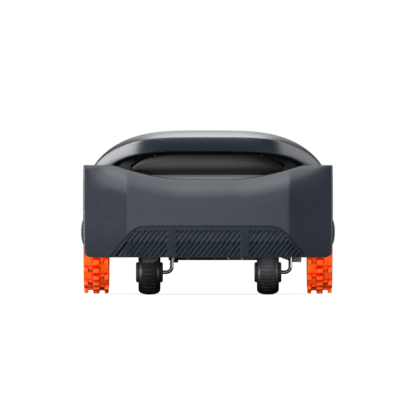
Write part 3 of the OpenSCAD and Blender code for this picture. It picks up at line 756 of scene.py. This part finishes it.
def top_row(back):
    """Rib of the hood's skin, a distance behind the band's crease."""
    y = HOOD_FRONT_Y + back
    grow = 1 - max(0.0, 1 - back / 46) ** 2
    half = CREASE_HALF + (HOOD_HALF - CREASE_HALF) * grow
    power = 4.0 - 0.4 * ease(back / 60)
    top = hood_height(y)
    rear = max(0.0, y - (HOOD_REAR_Y - REAR_CORNER))
    half -= REAR_CORNER - math.sqrt(max(0.0, REAR_CORNER ** 2 - rear ** 2))
    end = max(0.0, y - (HOOD_REAR_Y - REAR_ROUND))
    top -= 0.55 * (REAR_ROUND - math.sqrt(max(0.0, REAR_ROUND ** 2 - end ** 2)))
    fade = 1 - ease(back / 90)
    return arch_row(half, top, power, lambda turn: y + crease_setback(turn) * fade, wheel_arch_low(y))


def hood_rows():
    """Ribs of the hood from the band's inner edge over the crease to the rear."""
    lower, crease = band_lower_row(), crease_row()
    rows = [band_lower_row(-2.5, 9.0), band_lower_row(-0.6, 2.0), band_lower_row(0.2, 0.4)]
    for share in span(0.04, 0.96, 9):
        row = blend_rows(lower, crease, share)
        bulge = 0.9 * math.sin(math.pi * share)
        rows.append([(x, y - bulge, z) for x, y, z in row])
    rows.append([(x, y + 0.35, z) for x, y, z in blend_rows(lower, crease, 0.995)])
    depth = HOOD_REAR_Y - HOOD_FRONT_Y
    backs = [1.6, 3.5, 7, 12, 18, 26, 36, 48, 62, 78, 94]
    backs += span(108, depth - 40, 38)
    backs += [depth - REAR_ROUND * (1 - math.sin(math.radians(a))) for a in span(0, 84, 9)]
    rows += [top_row(back) for back in backs]
    return rows


def hood_tail(rim):
    """Upright panel that closes the hood's rear end, with a row of vent slots."""
    crown = [(x, z) for x, y, z in rim if z >= FOOT_Z]
    half = crown[-1][0] - 1.0

    def height(x):
        for (x0, z0), (x1, z1) in zip(crown, crown[1:]):
            if x0 <= x <= x1:
                return z0 + (z1 - z0) * (x - x0) / max(1e-6, x1 - x0)
        return FOOT_Z

    sheet = [
        [(x, HOOD_REAR_Y - 2.0, z) for z in span(SKIRT_Z, height(x) - 1.0, 12)]
        for x in span(-half, half, 61)
    ]
    panel = thicken(grid_object("hood_tail", sheet, facing=(0, 1, 0)), 2.4)
    slots = [
        prism("vent", [(x, 176), (x + 5, 176), (x + 17, 192), (x + 12, 192)], 300, 330)
        for x in (i * SLOT_PITCH for i in range(-7, 8))
    ]
    cut(panel, join("vents", slots))
    return round_edges(panel, 0.5, 2, 50.0)


def make_hood():
    rows = hood_rows()
    shell = grid_object("hood_shell", rows, facing=(0, 0, 1))
    thicken(shell, SHELL, even=False)
    tray = prism("tray_hole", [(-62.3, -60.3), (62.3, -60.3), (62.3, 60.3), (-62.3, 60.3)], -25, 15, "z")
    tray.data.transform(on_hood(CONTROL_Y))
    cut(shell, tray)
    hole = lathe("stop_hole", [(-20, 0), (-20, 26.2), (15, 26.2), (15, 0)], (0, 0, 0), "z", 72, False)
    hole.data.transform(on_hood(STOP_Y))
    cut(shell, hole)
    round_edges(shell, 0.8, 2, 50.0)
    shell = join("hood_shell", [shell, hood_tail(rows[-1])])
    finish_piece(smooth(shell, 28.0), "hood")


# ---------------------------------------------------------------- recess under the carrying band
WINDOW_HALF = 139.0
WINDOW_ARCH = (8.2, 117.4, 5.5)
MOUTH_ARCH = (9.3, 141.5, 4.6)
LEDGE_HALF = 127.0


def arch_height(x, top, drop, ref, power):
    return top - drop * (abs(x) / ref) ** power


def opening(half, top, low, arch, y):
    """Closed outline: an arched top from side to side, then the straight bottom."""
    xs = [-half * math.cos(math.pi * i / 48) for i in range(49)]
    points = [(x, y, arch_height(x, top, *arch)) for x in xs]
    return points + [(x, y, low) for x in span(half * 0.98, -half * 0.98, 24)]


def window_loop(y, grow=0.0):
    return opening(WINDOW_HALF + grow, WINDOW_TOP_Z + grow, WINDOW_BOTTOM_Z - grow, WINDOW_ARCH, y)


def make_recess_funnel():
    """Walls that lead from the band's mouth to the camera window."""
    mouth = [
        (x, y + band_setback(x), z)
        for x, y, z in opening(168.5, 260.5, 203.5, MOUTH_ARCH, HOOD_FRONT_Y + 12)
    ]
    loops = [
        mouth,
        blend_rows(mouth, window_loop(RECESS_BACK_Y - 4), 0.45),
        window_loop(RECESS_BACK_Y - 1.0, 1.6),
        window_loop(RECESS_BACK_Y + 0.5, 0.3),
        window_loop(RECESS_BACK_Y + 3.5, 0.3),
    ]
    funnel = grid_object("recess_funnel", loops, wrap_cols=True, facing=(0, -1, 0))
    thicken(funnel, 1.6)
    # The walls take the recess_black finish, whose near-black is partly painted shade.
    finish_piece(smooth(funnel, 35.0), "recess_bezel")


def make_camera_window():
    """Slightly bulging pane whose sides curve back."""
    rows = []
    for t in span(0, 1, 14):
        bulge = 1.6 * math.sin(math.pi * t)
        row = []
        for i in range(65):
            x = -WINDOW_HALF * math.cos(math.pi * i / 64)
            ceiling = arch_height(x, WINDOW_TOP_Z, *WINDOW_ARCH)
            y = RECESS_BACK_Y + 1.8 - bulge + 6 * (abs(x) / WINDOW_HALF) ** 3
            row.append((x, y, WINDOW_BOTTOM_Z + (ceiling - WINDOW_BOTTOM_Z) * t))
        rows.append(row)
    pane = grid_object("camera_window_pane", rows, facing=(0, -1, 0))
    thicken(pane, 2.0)
    finish_piece(smooth(pane, 40.0), "camera_window")


def make_recess_ledge():
    """Pale lower lip of the recess, a little lower towards its ends."""
    rows = []
    for x in span(-LEDGE_HALF, LEDGE_HALF, 60):
        sink = 1.2 * (abs(x) / LEDGE_HALF) ** 4
        rows.append([
            (x, HOOD_FRONT_Y + 8, 206.0),
            (x, HOOD_FRONT_Y + 7, 209.0 - sink),
            (x, HOOD_FRONT_Y + 8.5, 210.6 - sink),
            (x, HOOD_FRONT_Y + 18, 213.0 - sink),
            (x, RECESS_BACK_Y - 4, WINDOW_BOTTOM_Z - 1.2 - sink),
            (x, RECESS_BACK_Y - 1.4, WINDOW_BOTTOM_Z - 0.6 - sink),
            (x, RECESS_BACK_Y - 1.2, 206.0),
        ])
    ledge = grid_object("recess_ledge_strip", rows, facing=(0, 0, 1))
    thicken(ledge, 1.5)
    finish_piece(smooth(ledge, 50.0), "recess_ledge")


# ---------------------------------------------------------------- drive wheels
LUG_ROWS = 36
LUG_H = 8.5
WEB_H = 3.2
LUG_ROOT = 5.8
LUG_TIP = 3.9
OUTER_LUG = ((0.4, 9.2), (1.2, 8.0))
CENTRE_LUG = ((15.6, 30.6), (17.9, 28.3))
INNER_LUG = ((37.4, 46.2), (38.6, 45.4))
WELL_R = 84.0


def wheel_point(x, radius, side, turn):
    """Point at a radius from the axle and a distance to the side of that radius."""
    y = radius * math.cos(turn) - side * math.sin(turn)
    z = radius * math.sin(turn) + side * math.cos(turn)
    return (x, AXLE_Y + y, AXLE_Z + z)


def lug(spread, height, turn):
    """Tapered block on the tread: its spread across the tread at the root and at the tip."""
    root_r, tip_r = WHEEL_R - LUG_H - 0.8, WHEEL_R - LUG_H + height
    points = []
    for (low, high), radius, half in ((spread[0], root_r, LUG_ROOT), (spread[1], tip_r, LUG_TIP)):
        for across in (low, high):
            for side in (-half, half):
                points.append(wheel_point(TREAD_OUT - across, radius, side, turn))
    return block("lug", points)


def make_drive_wheels():
    lugs = []
    for row in range(LUG_ROWS):
        turn = 2 * math.pi * row / LUG_ROWS - math.pi / 2
        side = OUTER_LUG if row % 2 else INNER_LUG
        near = min(side[0][0], CENTRE_LUG[0][0]) + 1
        far = max(side[0][1], CENTRE_LUG[0][1]) - 1
        web = ((near, far), (near, far))
        lugs += [lug(CENTRE_LUG, LUG_H, turn), lug(side, LUG_H, turn), lug(web, WEB_H, turn)]
    blocks = round_edges(join("lugs", lugs), 0.7, 2, 40.0)
    low, high = TREAD_IN - AXLE_X, TREAD_OUT - AXLE_X
    root = WHEEL_R - LUG_H
    profile = [
        (low, WELL_R + 3), (low + 1.4, WELL_R + 6), (low + 1.4, WELL_R + 12), (low, WELL_R + 13.5),
        (low, root - 2.5), (low + 0.8, root - 0.7), (low + 2.5, root),
        (low + 13.6, root), (low + 14.2, root + 0.5), (low + 32.4, root + 0.5), (low + 33, root),
        (high - 2.5, root), (high - 0.8, root - 0.7), (high, root - 2.5),
        (high, WELL_R + 13.5), (high - 1.4, WELL_R + 12), (high - 1.4, WELL_R + 6), (high, WELL_R + 3),
        (high - 1.5, WELL_R), (low + 1.5, WELL_R),
    ]
    ring = lathe("tread_ring", profile, AXLE, "x", 144)
    ribs = [side_rib(2 * math.pi * (row + 0.5) / LUG_ROWS) for row in range(LUG_ROWS)]
    tyre = join("drive_tyre_lugged_left", [ring, blocks, *ribs])
    finish_pair(smooth(tyre, 40.0), "drive_tyre_lugged_right", "drive_tyre")


def side_rib(turn):
    """Short radial rib in the groove of the tyre's outer side."""
    points = []
    for x in (TREAD_OUT - 2.0, TREAD_OUT - 0.3):
        for radius in (WELL_R + 5.2, WELL_R + 12.8):
            for half in (-1.1, 1.1):
                points.append(wheel_point(x, radius, half, turn))
    return block("side_rib", points)


SPOKES = 6
WEB_IN = 34.0
WEB_OUT = 74.0
BOLT_CIRCLE_R = 30.5


def window_cutter(turn, low, high):
    """Opening between two spokes, a ring sector with rounded corners."""
    half = math.radians(180 / SPOKES - 9)
    soft = math.radians(4)
    outline = []
    for radius, angles in (
        (WEB_IN, (half - soft, 0, -half + soft)),
        (WEB_IN + 5, (-half,)),
        (WEB_OUT - 6, (-half,)),
        (WEB_OUT, (-half + soft, -half / 2, 0, half / 2, half - soft)),
        (WEB_OUT - 6, (half,)),
        (WEB_IN + 5, (half,)),
    ):
        outline += [
            (AXLE_Y + radius * math.cos(turn + a), AXLE_Z + radius * math.sin(turn + a)) for a in angles
        ]
    return prism("rim_window", outline, low, high, "x")


def make_rims():
    """Barrel, spoked web and hub of the drive wheels, with a ring of bolt heads."""
    low, high = TREAD_IN - AXLE_X, TREAD_OUT - AXLE_X
    wall = WELL_R - 0.3
    barrel = lathe("barrel", [
        (low + 1, wall - 1), (low + 2, wall), (high - 2, wall), (high - 0.6, wall - 1.2),
        (high - 0.6, wall - 3.5), (high - 4, wall - 5.2), (low + 4, wall - 5.2), (low + 1, wall - 3.5),
    ], AXLE, "x", 120)
    web = lathe("web", [
        (high - 19, 20), (high - 19, wall - 4), (high - 14, wall - 4),
        (high - 11, 60), (high - 8.5, 30), (high - 8.5, 20),
    ], AXLE, "x", 96)
    turns = [2 * math.pi * i / SPOKES for i in range(SPOKES)]
    cut(web, join("rim_windows", [window_cutter(turn, TREAD_OUT - 26, TREAD_OUT + 2) for turn in turns]))
    hub = lathe("hub", [
        (low + 3, 9), (low + 3, 20), (low + 6, 22), (high - 9, 22),
        (high - 6.5, 25.5), (high - 5.2, 25.5), (high - 5.2, 9),
    ], AXLE, "x", 72)
    head = [(high - 9.4, 0), (high - 9.4, 2.9), (high - 6.9, 2.9), (high - 6.4, 2.3)]
    head += [(high - 6.4, 1.3), (high - 7.6, 1.1), (high - 7.6, 0)]
    bolts = []
    for i in range(SPOKES):
        place = wheel_point(AXLE_X, BOLT_CIRCLE_R, 0.0, 2 * math.pi * (i + 0.5) / SPOKES)
        bolts.append(lathe("rim_bolt", head, place, "x", 24, False))
    rim = round_edges(join("drive_rim_spoked_left", [barrel, web, hub]), 0.7, 2, 40.0)
    rim = join("drive_rim_spoked_left", [rim, *bolts])
    finish_pair(smooth(rim, 35.0), "drive_rim_spoked_right", "drive_rim")


def make_hub_caps():
    low, high = (corner.x / MM - AXLE_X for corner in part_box("hub_cap_left"))
    dome = [(low, 0), (low, 24.5), (low + 0.8, 25.6), (low + 2.2, 25.9), (low + 3.2, 25.2)]
    for t in span(0.06, 1, 14):
        turn = math.pi / 2 * t
        dome.append((low + 3.2 + (high - low - 3.2) * math.sin(turn), 25.2 * math.cos(turn)))
    cap = lathe("hub_cap_domed_left", dome, AXLE, "x", 72, False)
    for piece in finish_pair(smooth(cap, 40.0), "hub_cap_domed_right", "hub_cap"):
        piece.data.materials[0] = HUB_SILVER


# ---------------------------------------------------------------- casters
PADS = 34
PAD_STEPS = 8
TREAD_BAND = 12.8


def caster_box(side):
    low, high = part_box("caster_tyre_" + side)
    return (low + high) / 2 / MM, (high.x - low.x) / 2 / MM, (high.z - low.z) / 2 / MM


def caster_radius(across, half, outer):
    """Radius of the tyre's crowned section at a distance from its middle."""
    return outer - 9 * (1 - math.sqrt(max(0.0, 1 - (abs(across) / half) ** 2.4)))


def make_caster_tyre(side):
    centre, half, outer = caster_box(side)
    steps = PADS * PAD_STEPS
    edges = [-half, -half + 0.05, -half + 0.25, -half + 0.8, -17.5, -16, -14.6, -TREAD_BAND - 0.9]
    edges += [-TREAD_BAND - 0.5, -TREAD_BAND, -TREAD_BAND + 0.5] + span(-11, 11, 11)
    edges += [TREAD_BAND - 0.5, TREAD_BAND, TREAD_BAND + 0.5]
    edges += [TREAD_BAND + 0.9, 14.6, 16, 17.5, half - 0.8, half - 0.25, half - 0.05, half]
    rows = []
    for i in range(steps):
        turn = 2 * math.pi * i / steps
        row = [(-half + 1.5, outer - 15), (-half + 0.3, outer - 14)]
        for across in edges:
            radius = caster_radius(across, half, outer)
            if abs(abs(across) - TREAD_BAND) < 0.1:
                radius -= 1.0
            lagging = 1.3 * (abs(across) / TREAD_BAND) ** 2
            place = (i + lagging) % PAD_STEPS
            if abs(across) < TREAD_BAND - 0.3 and (place < 0.75 or place > PAD_STEPS - 0.75):
                radius -= 1.2
            row.append((across, radius))
        row += [(half - 0.3, outer - 14), (half - 1.5, outer - 15)]
        rows.append([
            (centre.x + a, centre.y + r * math.cos(turn), centre.z + r * math.sin(turn)) for a, r in row
        ])
    tyre = grid_object("caster_tyre_grooved_" + side, rows, wrap_rows=True, wrap_cols=True)
    finish_piece(smooth(tyre, 34.0), "caster_tyre_" + side)


def make_caster_hub(side):
    centre, half, outer = caster_box(side)
    low, high = (corner.x / MM - centre.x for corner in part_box("caster_hub_" + side))
    bore = 3.55
    profile = [
        (low, bore), (low, 6), (low + 1.2, 7), (low + 1.2, 12), (low, 13.2), (low, 15.6),
        (low + 0.5, 16.8), (low + 1.6, 18.3), (-half + 0.6, 18.3), (-half + 1.8, outer - 15.2),
        (half - 1.8, outer - 15.2), (half - 0.6, 18.3), (high - 1.6, 18.3), (high - 0.5, 16.8),
        (high, 15.6), (high, 13.2),
        (high - 1.2, 12), (high - 1.2, 7), (high, 6), (high, bore),
    ]
    hub = lathe("caster_hub_stepped_" + side, profile, tuple(centre), "x", 72)
    finish_piece(smooth(hub, 32.0), "caster_hub_" + side)


# ---------------------------------------------------------------- outer covers
FENDER_WALL = 2.6


def make_fenders():
    """Wheel arch: a band round the tyre with a rolled outer lip."""
    low, high = (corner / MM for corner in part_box("fender_left"))
    end = math.degrees(math.asin((AXLE_Z - low.z) / FENDER_R))
    section = [
        (low.x, 0.0), (low.x + 18, 0.0), (high.x - 17, 0.0), (high.x - 15, -0.9), (high.x - 8, -0.9),
        (high.x - 6, 0.0), (high.x - 3.2, 0.0), (high.x - 1.6, -0.4), (high.x - 0.5, -1.5),
        (high.x, -3.2), (high.x, -4.8),
    ]
    rows = []
    for turn in span(-end, 180 + end, 97):
        a = math.radians(turn)
        rows.append([
            (x, AXLE_Y + (FENDER_R + drop) * math.cos(a), AXLE_Z + (FENDER_R + drop) * math.sin(a))
            for x, drop in section
        ])
    arch = grid_object("fender_arch_left", rows)
    if max(arch.data.polygons, key=lambda p: p.center.z).normal.z < 0:
        arch.data.flip_normals()
    thicken(arch, FENDER_WALL, even=False)
    inner = [(AXLE_Y + y, AXLE_Z + z) for y, z in arc((0, 0), FENDER_R - 1.5, 20, 160, 48)]
    web = prism("fender_web", inner, low.x + 0.3, low.x + 2.8, "x")
    round_edges(web, 0.4, 2, 40.0)
    piece = smooth(join("fender_arch_left", [arch, web]), 35.0)
    finish_pair(piece, "fender_arch_right", "fender")


def make_side_covers():
    """Side panel with softened edges, a waist groove and slanted vents."""
    low, high = (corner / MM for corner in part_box("side_cover_left"))
    outline = [
        (low.y, low.z + 10), (low.y + 3, low.z + 3), (low.y + 10, low.z), (high.y - 1, low.z),
        (high.y, low.z + 14), (high.y - 2, low.z + 60), (high.y - 12, low.z + 92),
        (high.y - 34, high.z - 12), (high.y - 40, high.z - 3), (high.y - 48, high.z),
        (low.y + 10, high.z), (low.y + 3, high.z - 3), (low.y, high.z - 10),
    ]
    panel = prism("side_cover_panel_left", outline, low.x + 0.5, high.x, "x")
    groove = [(low.y - 5, 176.0), (high.y + 5, 176.0), (high.y + 5, 178.4), (low.y - 5, 178.4)]
    tools = [prism("groove", groove, high.x - 1.6, high.x + 5, "x")]
    for i in range(9):
        y = low.y + 34 + i * SLOT_PITCH * 1.5
        vent = [(y, 118), (y + 7, 118), (y + 31, 150), (y + 24, 150)]
        tools.append(prism("vent", vent, high.x - 4.5, high.x + 5, "x"))
    cut(panel, join("side_cuts", tools))
    round_edges(panel, 1.6, 3, 50.0)
    finish_pair(smooth(panel, 35.0), "side_cover_panel_right", "side_cover")


def make_rear_cover():
    """Tail panel with a sunk charging bay and cooling ribs each side of it."""
    low, high = (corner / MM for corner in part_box("rear_cover"))
    outline = [
        (low.x + 12, low.z), (high.x - 12, low.z), (high.x, low.z + 12),
        (high.x, high.z), (low.x, high.z), (low.x, low.z + 12),
    ]
    panel = prism("rear_cover_ribbed", outline, low.y + 0.5, high.y)
    tools = [prism("bay", [(-52, 92), (52, 92), (46, 132), (-46, 132)], high.y - 1.4, high.y + 5)]
    for side in (-1, 1):
        for i in range(7):
            x = side * (68 + 11 * i)
            gap = [(x - 2.6, 92), (x + 2.6, 92), (x + 2.6, 132), (x - 2.6, 132)]
            tools.append(prism("rib_gap", gap, high.y - 5, high.y + 5))
    cut(panel, join("rear_cuts", tools))
    round_edges(panel, 1.2, 3, 50.0)
    finish_piece(smooth(panel, 35.0), "rear_cover")


# ---------------------------------------------------------------- underside
DECK_FRONT = -151.5
DECK_RIBS = 6
FIRST_RIB_X = -61.2
RIB_PITCH = 24.5


def make_deck_ribs():
    """Thin raised ribs on the front of the deck's lower lip, in pale grey as painted light."""
    ribs = []
    for i in range(DECK_RIBS):
        x = FIRST_RIB_X + RIB_PITCH * i
        outline = [(x - 0.8, 62.3), (x + 0.8, 62.3), (x + 0.5, 69.7), (x - 0.5, 69.7)]
        ribs.append(prism("rib", outline, DECK_FRONT - 0.9, DECK_FRONT))
    piece = round_edges(join("deck_lip_ribs", ribs), 0.2, 2, 40.0)
    finish_detail(smooth(piece), "chassis_tub", RIB_PAINTED_LIGHT)


def make_bay_cover():
    """Ribbed splash cover over the electronics, seen through the gap behind the bumper."""
    plate = prism("bay_plate", rounded_box(162.0, 33.0, 8.0), 157.2, 159.2, "z")
    rib = rounded_box(1.3, 28.0, 1.2)
    ribs = [move(prism("bay_rib", rib, 158.8, 161.4, "z"), x=27 * i) for i in range(-5, 6)]
    piece = round_edges(join("bay_splash_cover", [plate, *ribs]), 0.5, 2, 45.0)
    finish_detail(smooth(move(piece, y=-270)), "chassis_tub", SLOT_MATERIALS["black_plastic"])


# ---------------------------------------------------------------- controls on top
def place_on_hood(obj, y):
    obj.data.transform(on_hood(y))
    return obj


def rounded_box(half_x, half_y, corner):
    """Outline of a rectangle with round corners, centred."""
    outline = []
    for sx, sy, start in ((1, 1, 0), (-1, 1, 90), (-1, -1, 180), (1, -1, 270)):
        centre = (sx * (half_x - corner), sy * (half_y - corner))
        outline += arc(centre, corner, start, start + 90, 6)
    return outline


def make_lid():
    """Flip-up lid with a finger dip at its rear edge and two hinge barrels."""
    slab = prism("lid_slab", rounded_box(59.0, 52.0, 7.0), -3.0, 0.0, "z")
    move(slab, y=-4)
    dip = move(prism("dip", rounded_box(20, 3.4, 3.2), -1.4, 3.0, "z"), y=41)
    rim = move(prism("rim", rounded_box(52, 33, 5), -0.5, 2.0, "z"), y=-9)
    inner = move(prism("rim_core", rounded_box(50.4, 31.4, 4), -1.0, 3.0, "z"), y=-9)
    cut(slab, cut(rim, inner))
    cut(slab, dip)
    round_edges(slab, 0.5, 3, 45.0)
    barrels = [
        lathe("barrel", [(x, 0), (x, 2.2), (x + 0.4, 2.5), (x + 9.6, 2.5), (x + 10, 2.2), (x + 10, 0)],
              (0, -53.0, -2.5), "x", 24, False)
        for x in (-57.0, 47.0)
    ]
    lid = place_on_hood(join("control_lid_panel", [slab, *barrels]), CONTROL_Y)
    finish_piece(smooth(lid, 35.0), "control_lid")


def make_stop():
    """Mushroom button with a dished top, in a ring with a rounded rim."""
    cap = [(-12, 0), (-12, 5.7), (-3.6, 5.7), (-3.4, 20), (-2.2, 21.6), (0, 22), (3.4, 22), (5.4, 21.2)]
    cap += [(7.2, 18.5), (8.2, 15), (8.5, 12), (8.1, 8), (7.9, 4), (7.8, 0)]
    button = lathe("stop_button_dished", cap, (0, 0, 0), "z", 72, False)
    place_on_hood(button, STOP_Y)
    finish_piece(smooth(button, 40.0), "stop_button")
    ring = [(-14, 6.3), (-14, 25.4), (-13.4, 26), (0.6, 26), (0.8, 27.6), (1.3, 28), (1.8, 27.6), (2.0, 26.6)]
    ring += [(2.0, 23.4), (1.4, 22.6), (-7.6, 22.6), (-8, 22.2), (-8, 6.3)]
    bezel = lathe("stop_bezel_ring", ring, (0, 0, 0), "z", 72)
    place_on_hood(bezel, STOP_Y)
    finish_piece(smooth(bezel, 35.0), "stop_bezel")


def make_antenna_cover():
    """Low dome over the satellite antenna, with a shadow gap and a ring groove."""
    dome = [
        (-5, 0), (-5, 29.5), (3.0, 29.5), (3.0, 39.3), (3.6, 40), (5.4, 40), (6.6, 39.6), (8.6, 38),
        (10.4, 35.6), (11.6, 33), (12.6, 30), (12.4, 28.6), (12.9, 27.2), (13.7, 22), (14.3, 16),
        (14.7, 10), (14.9, 5), (15, 0),
    ]
    cover = lathe("antenna_cover_domed", dome, (0, 0, 0), "z", 96, False)
    place_on_hood(cover, ANTENNA_Y)
    finish_piece(smooth(cover, 30.0), "antenna_cover")


# ---------------------------------------------------------------- the object
dress_cad_nodes()
make_front_bumper()
make_front_grille()
make_hood()
make_recess_funnel()
make_camera_window()
make_recess_ledge()
make_drive_wheels()
make_rims()
make_hub_caps()
for wheel_side in ("left", "right"):
    make_caster_tyre(wheel_side)
    make_caster_hub(wheel_side)
make_fenders()
make_side_covers()
make_rear_cover()
make_lid()
make_stop()
make_antenna_cover()
make_deck_ribs()
make_bay_cover()


# ---------------------------------------------------------------- floor, light and camera
VIEW_WIDTH = 0.7488
CENTRE_Z = 0.1566
FLOOR_R = 20000.0
FLOOR_SIDES = 96
BACKGROUND = 1.0


def make_floor():
    n = Nodes("floor_paper")
    base = n.ramp(n.noise(3.0, 2.0), [(0.3, (0.2, 0.2, 0.202)), (0.7, (0.21, 0.21, 0.21))])
    n.join(base, n.shader.inputs["Base Color"])
    n.shader.inputs["Roughness"].default_value = 0.9
    n.shader.inputs["Specular IOR Level"].default_value = 0.0
    n.shader.inputs["Emission Color"].default_value = (1.0, 1.0, 1.0, 1.0)
    n.shader.inputs["Emission Strength"].default_value = 0.8
    rim = [(x, y, 0) for x, y in arc((0, 0), FLOOR_R, 0, 360, FLOOR_SIDES)[:-1]]
    floor = mesh_object("floor", rim, [tuple(range(FLOOR_SIDES))])
    floor.data.materials.append(n.material)
    floor.visible_diffuse = False
    floor.visible_glossy = False
    floor.visible_shadow = False


# Soft round lights: azimuth from the front towards the machine's left, elevation, radius, edge, strength
LIGHTS = (
    (-3, 2, 5, 9, 2.3),
    (-22, 30, 14, 12, 3.2),
    (0, 62, 22, 12, 3.0),
    (-64, 6, 12, 9, 18.0),
    (64, 6, 12, 9, 6.5),
    (180, 35, 2, 6, 3.4),
    (180, 25, 2, 6, 3.0),
    (180, 12, 2, 7, 1.0),
    (0, 90, 26, 14, 1.2),
)


def make_world():
    """Even pale background, with soft round lights that only light and reflect."""
    world = bpy.data.worlds.new("studio")
    world.use_nodes = True
    tree = world.node_tree
    tree.nodes.clear()

    def add(kind, **values):
        node = tree.nodes.new(kind)
        for key, value in values.items():
            setattr(node, key, value)
        return node

    way = add("ShaderNodeTexCoord").outputs["Generated"]
    split = add("ShaderNodeSeparateXYZ")
    tree.links.new(way, split.inputs[0])
    sky = add("ShaderNodeMapRange", interpolation_type="SMOOTHSTEP")
    tree.links.new(split.outputs["Z"], sky.inputs["Value"])
    for name, value in (("From Min", 0.0), ("From Max", 0.6), ("To Min", 0.02), ("To Max", 0.3)):
        sky.inputs[name].default_value = value
    total = sky.outputs["Result"]
    for azimuth, elevation, radius, edge, strength in LIGHTS:
        a, e = math.radians(azimuth), math.radians(elevation)
        axis = (math.sin(a) * math.cos(e), -math.cos(a) * math.cos(e), math.sin(e))
        dot = add("ShaderNodeVectorMath", operation="DOT_PRODUCT")
        tree.links.new(way, dot.inputs[0])
        dot.inputs[1].default_value = axis
        spot = add("ShaderNodeMapRange", interpolation_type="SMOOTHSTEP")
        tree.links.new(dot.outputs["Value"], spot.inputs["Value"])
        spot.inputs["From Min"].default_value = math.cos(math.radians(radius + edge))
        spot.inputs["From Max"].default_value = math.cos(math.radians(radius))
        spot.inputs["To Max"].default_value = strength
        plus = add("ShaderNodeMath", operation="ADD")
        tree.links.new(total, plus.inputs[0])
        tree.links.new(spot.outputs["Result"], plus.inputs[1])
        total = plus.outputs["Value"]
    lighting = add("ShaderNodeBackground")
    tree.links.new(total, lighting.inputs["Strength"])
    seen = add("ShaderNodeBackground")
    seen.inputs["Color"].default_value = (BACKGROUND, BACKGROUND, BACKGROUND, 1)
    ray = add("ShaderNodeLightPath")
    pick = add("ShaderNodeMixShader")
    tree.links.new(ray.outputs["Is Camera Ray"], pick.inputs[0])
    tree.links.new(lighting.outputs[0], pick.inputs[1])
    tree.links.new(seen.outputs[0], pick.inputs[2])
    out = add("ShaderNodeOutputWorld")
    tree.links.new(pick.outputs[0], out.inputs["Surface"])
    bpy.context.scene.world = world


def area_light(name, place, aim, size, power, spread):
    """A lamp that the camera and glossy reflections don't see."""
    light = bpy.data.lights.new(name, "AREA")
    light.shape = "RECTANGLE"
    light.size, light.size_y = size
    light.energy = power
    lamp = link(bpy.data.objects.new(name, light))
    lamp.location = place
    lamp.rotation_euler = (Vector(aim) - Vector(place)).to_track_quat("-Z", "Y").to_euler()
    lamp.visible_camera = False
    lamp.visible_glossy = False
    light.spread = math.radians(spread)


def make_camera():
    camera = bpy.data.cameras.new("camera")
    camera.sensor_width = 36.0
    camera.lens = 1400.0
    distance = camera.lens / camera.sensor_width * VIEW_WIDTH
    camera.clip_start = 1.0
    camera.clip_end = 200.0
    eye = link(bpy.data.objects.new("camera", camera))
    eye.location = (0.0, FRONT_Y * MM - distance, CENTRE_Z)
    eye.rotation_euler = (math.radians(90), 0, 0)
    bpy.context.scene.camera = eye


make_floor()
make_world()
for x in (-0.107, 0.107):
    area_light("caster_fill", (x, -0.304, 0.064), (x, -0.2475, 0.05), (0.04, 0.008), 0.08, 64)
for x in (-0.2, 0.2):
    area_light("wheel_fill", (x, -0.285, 0.06), (x, 0.0, 0.035), (0.05, 0.01), 0.105, 40)
area_light("rear_fill", (0.0, 2.2, 0.5), (0.0, 0.3, 0.12), (1.2, 0.8), 16, 120)
make_camera()
bpy.context.scene.view_settings.view_transform = "Standard"
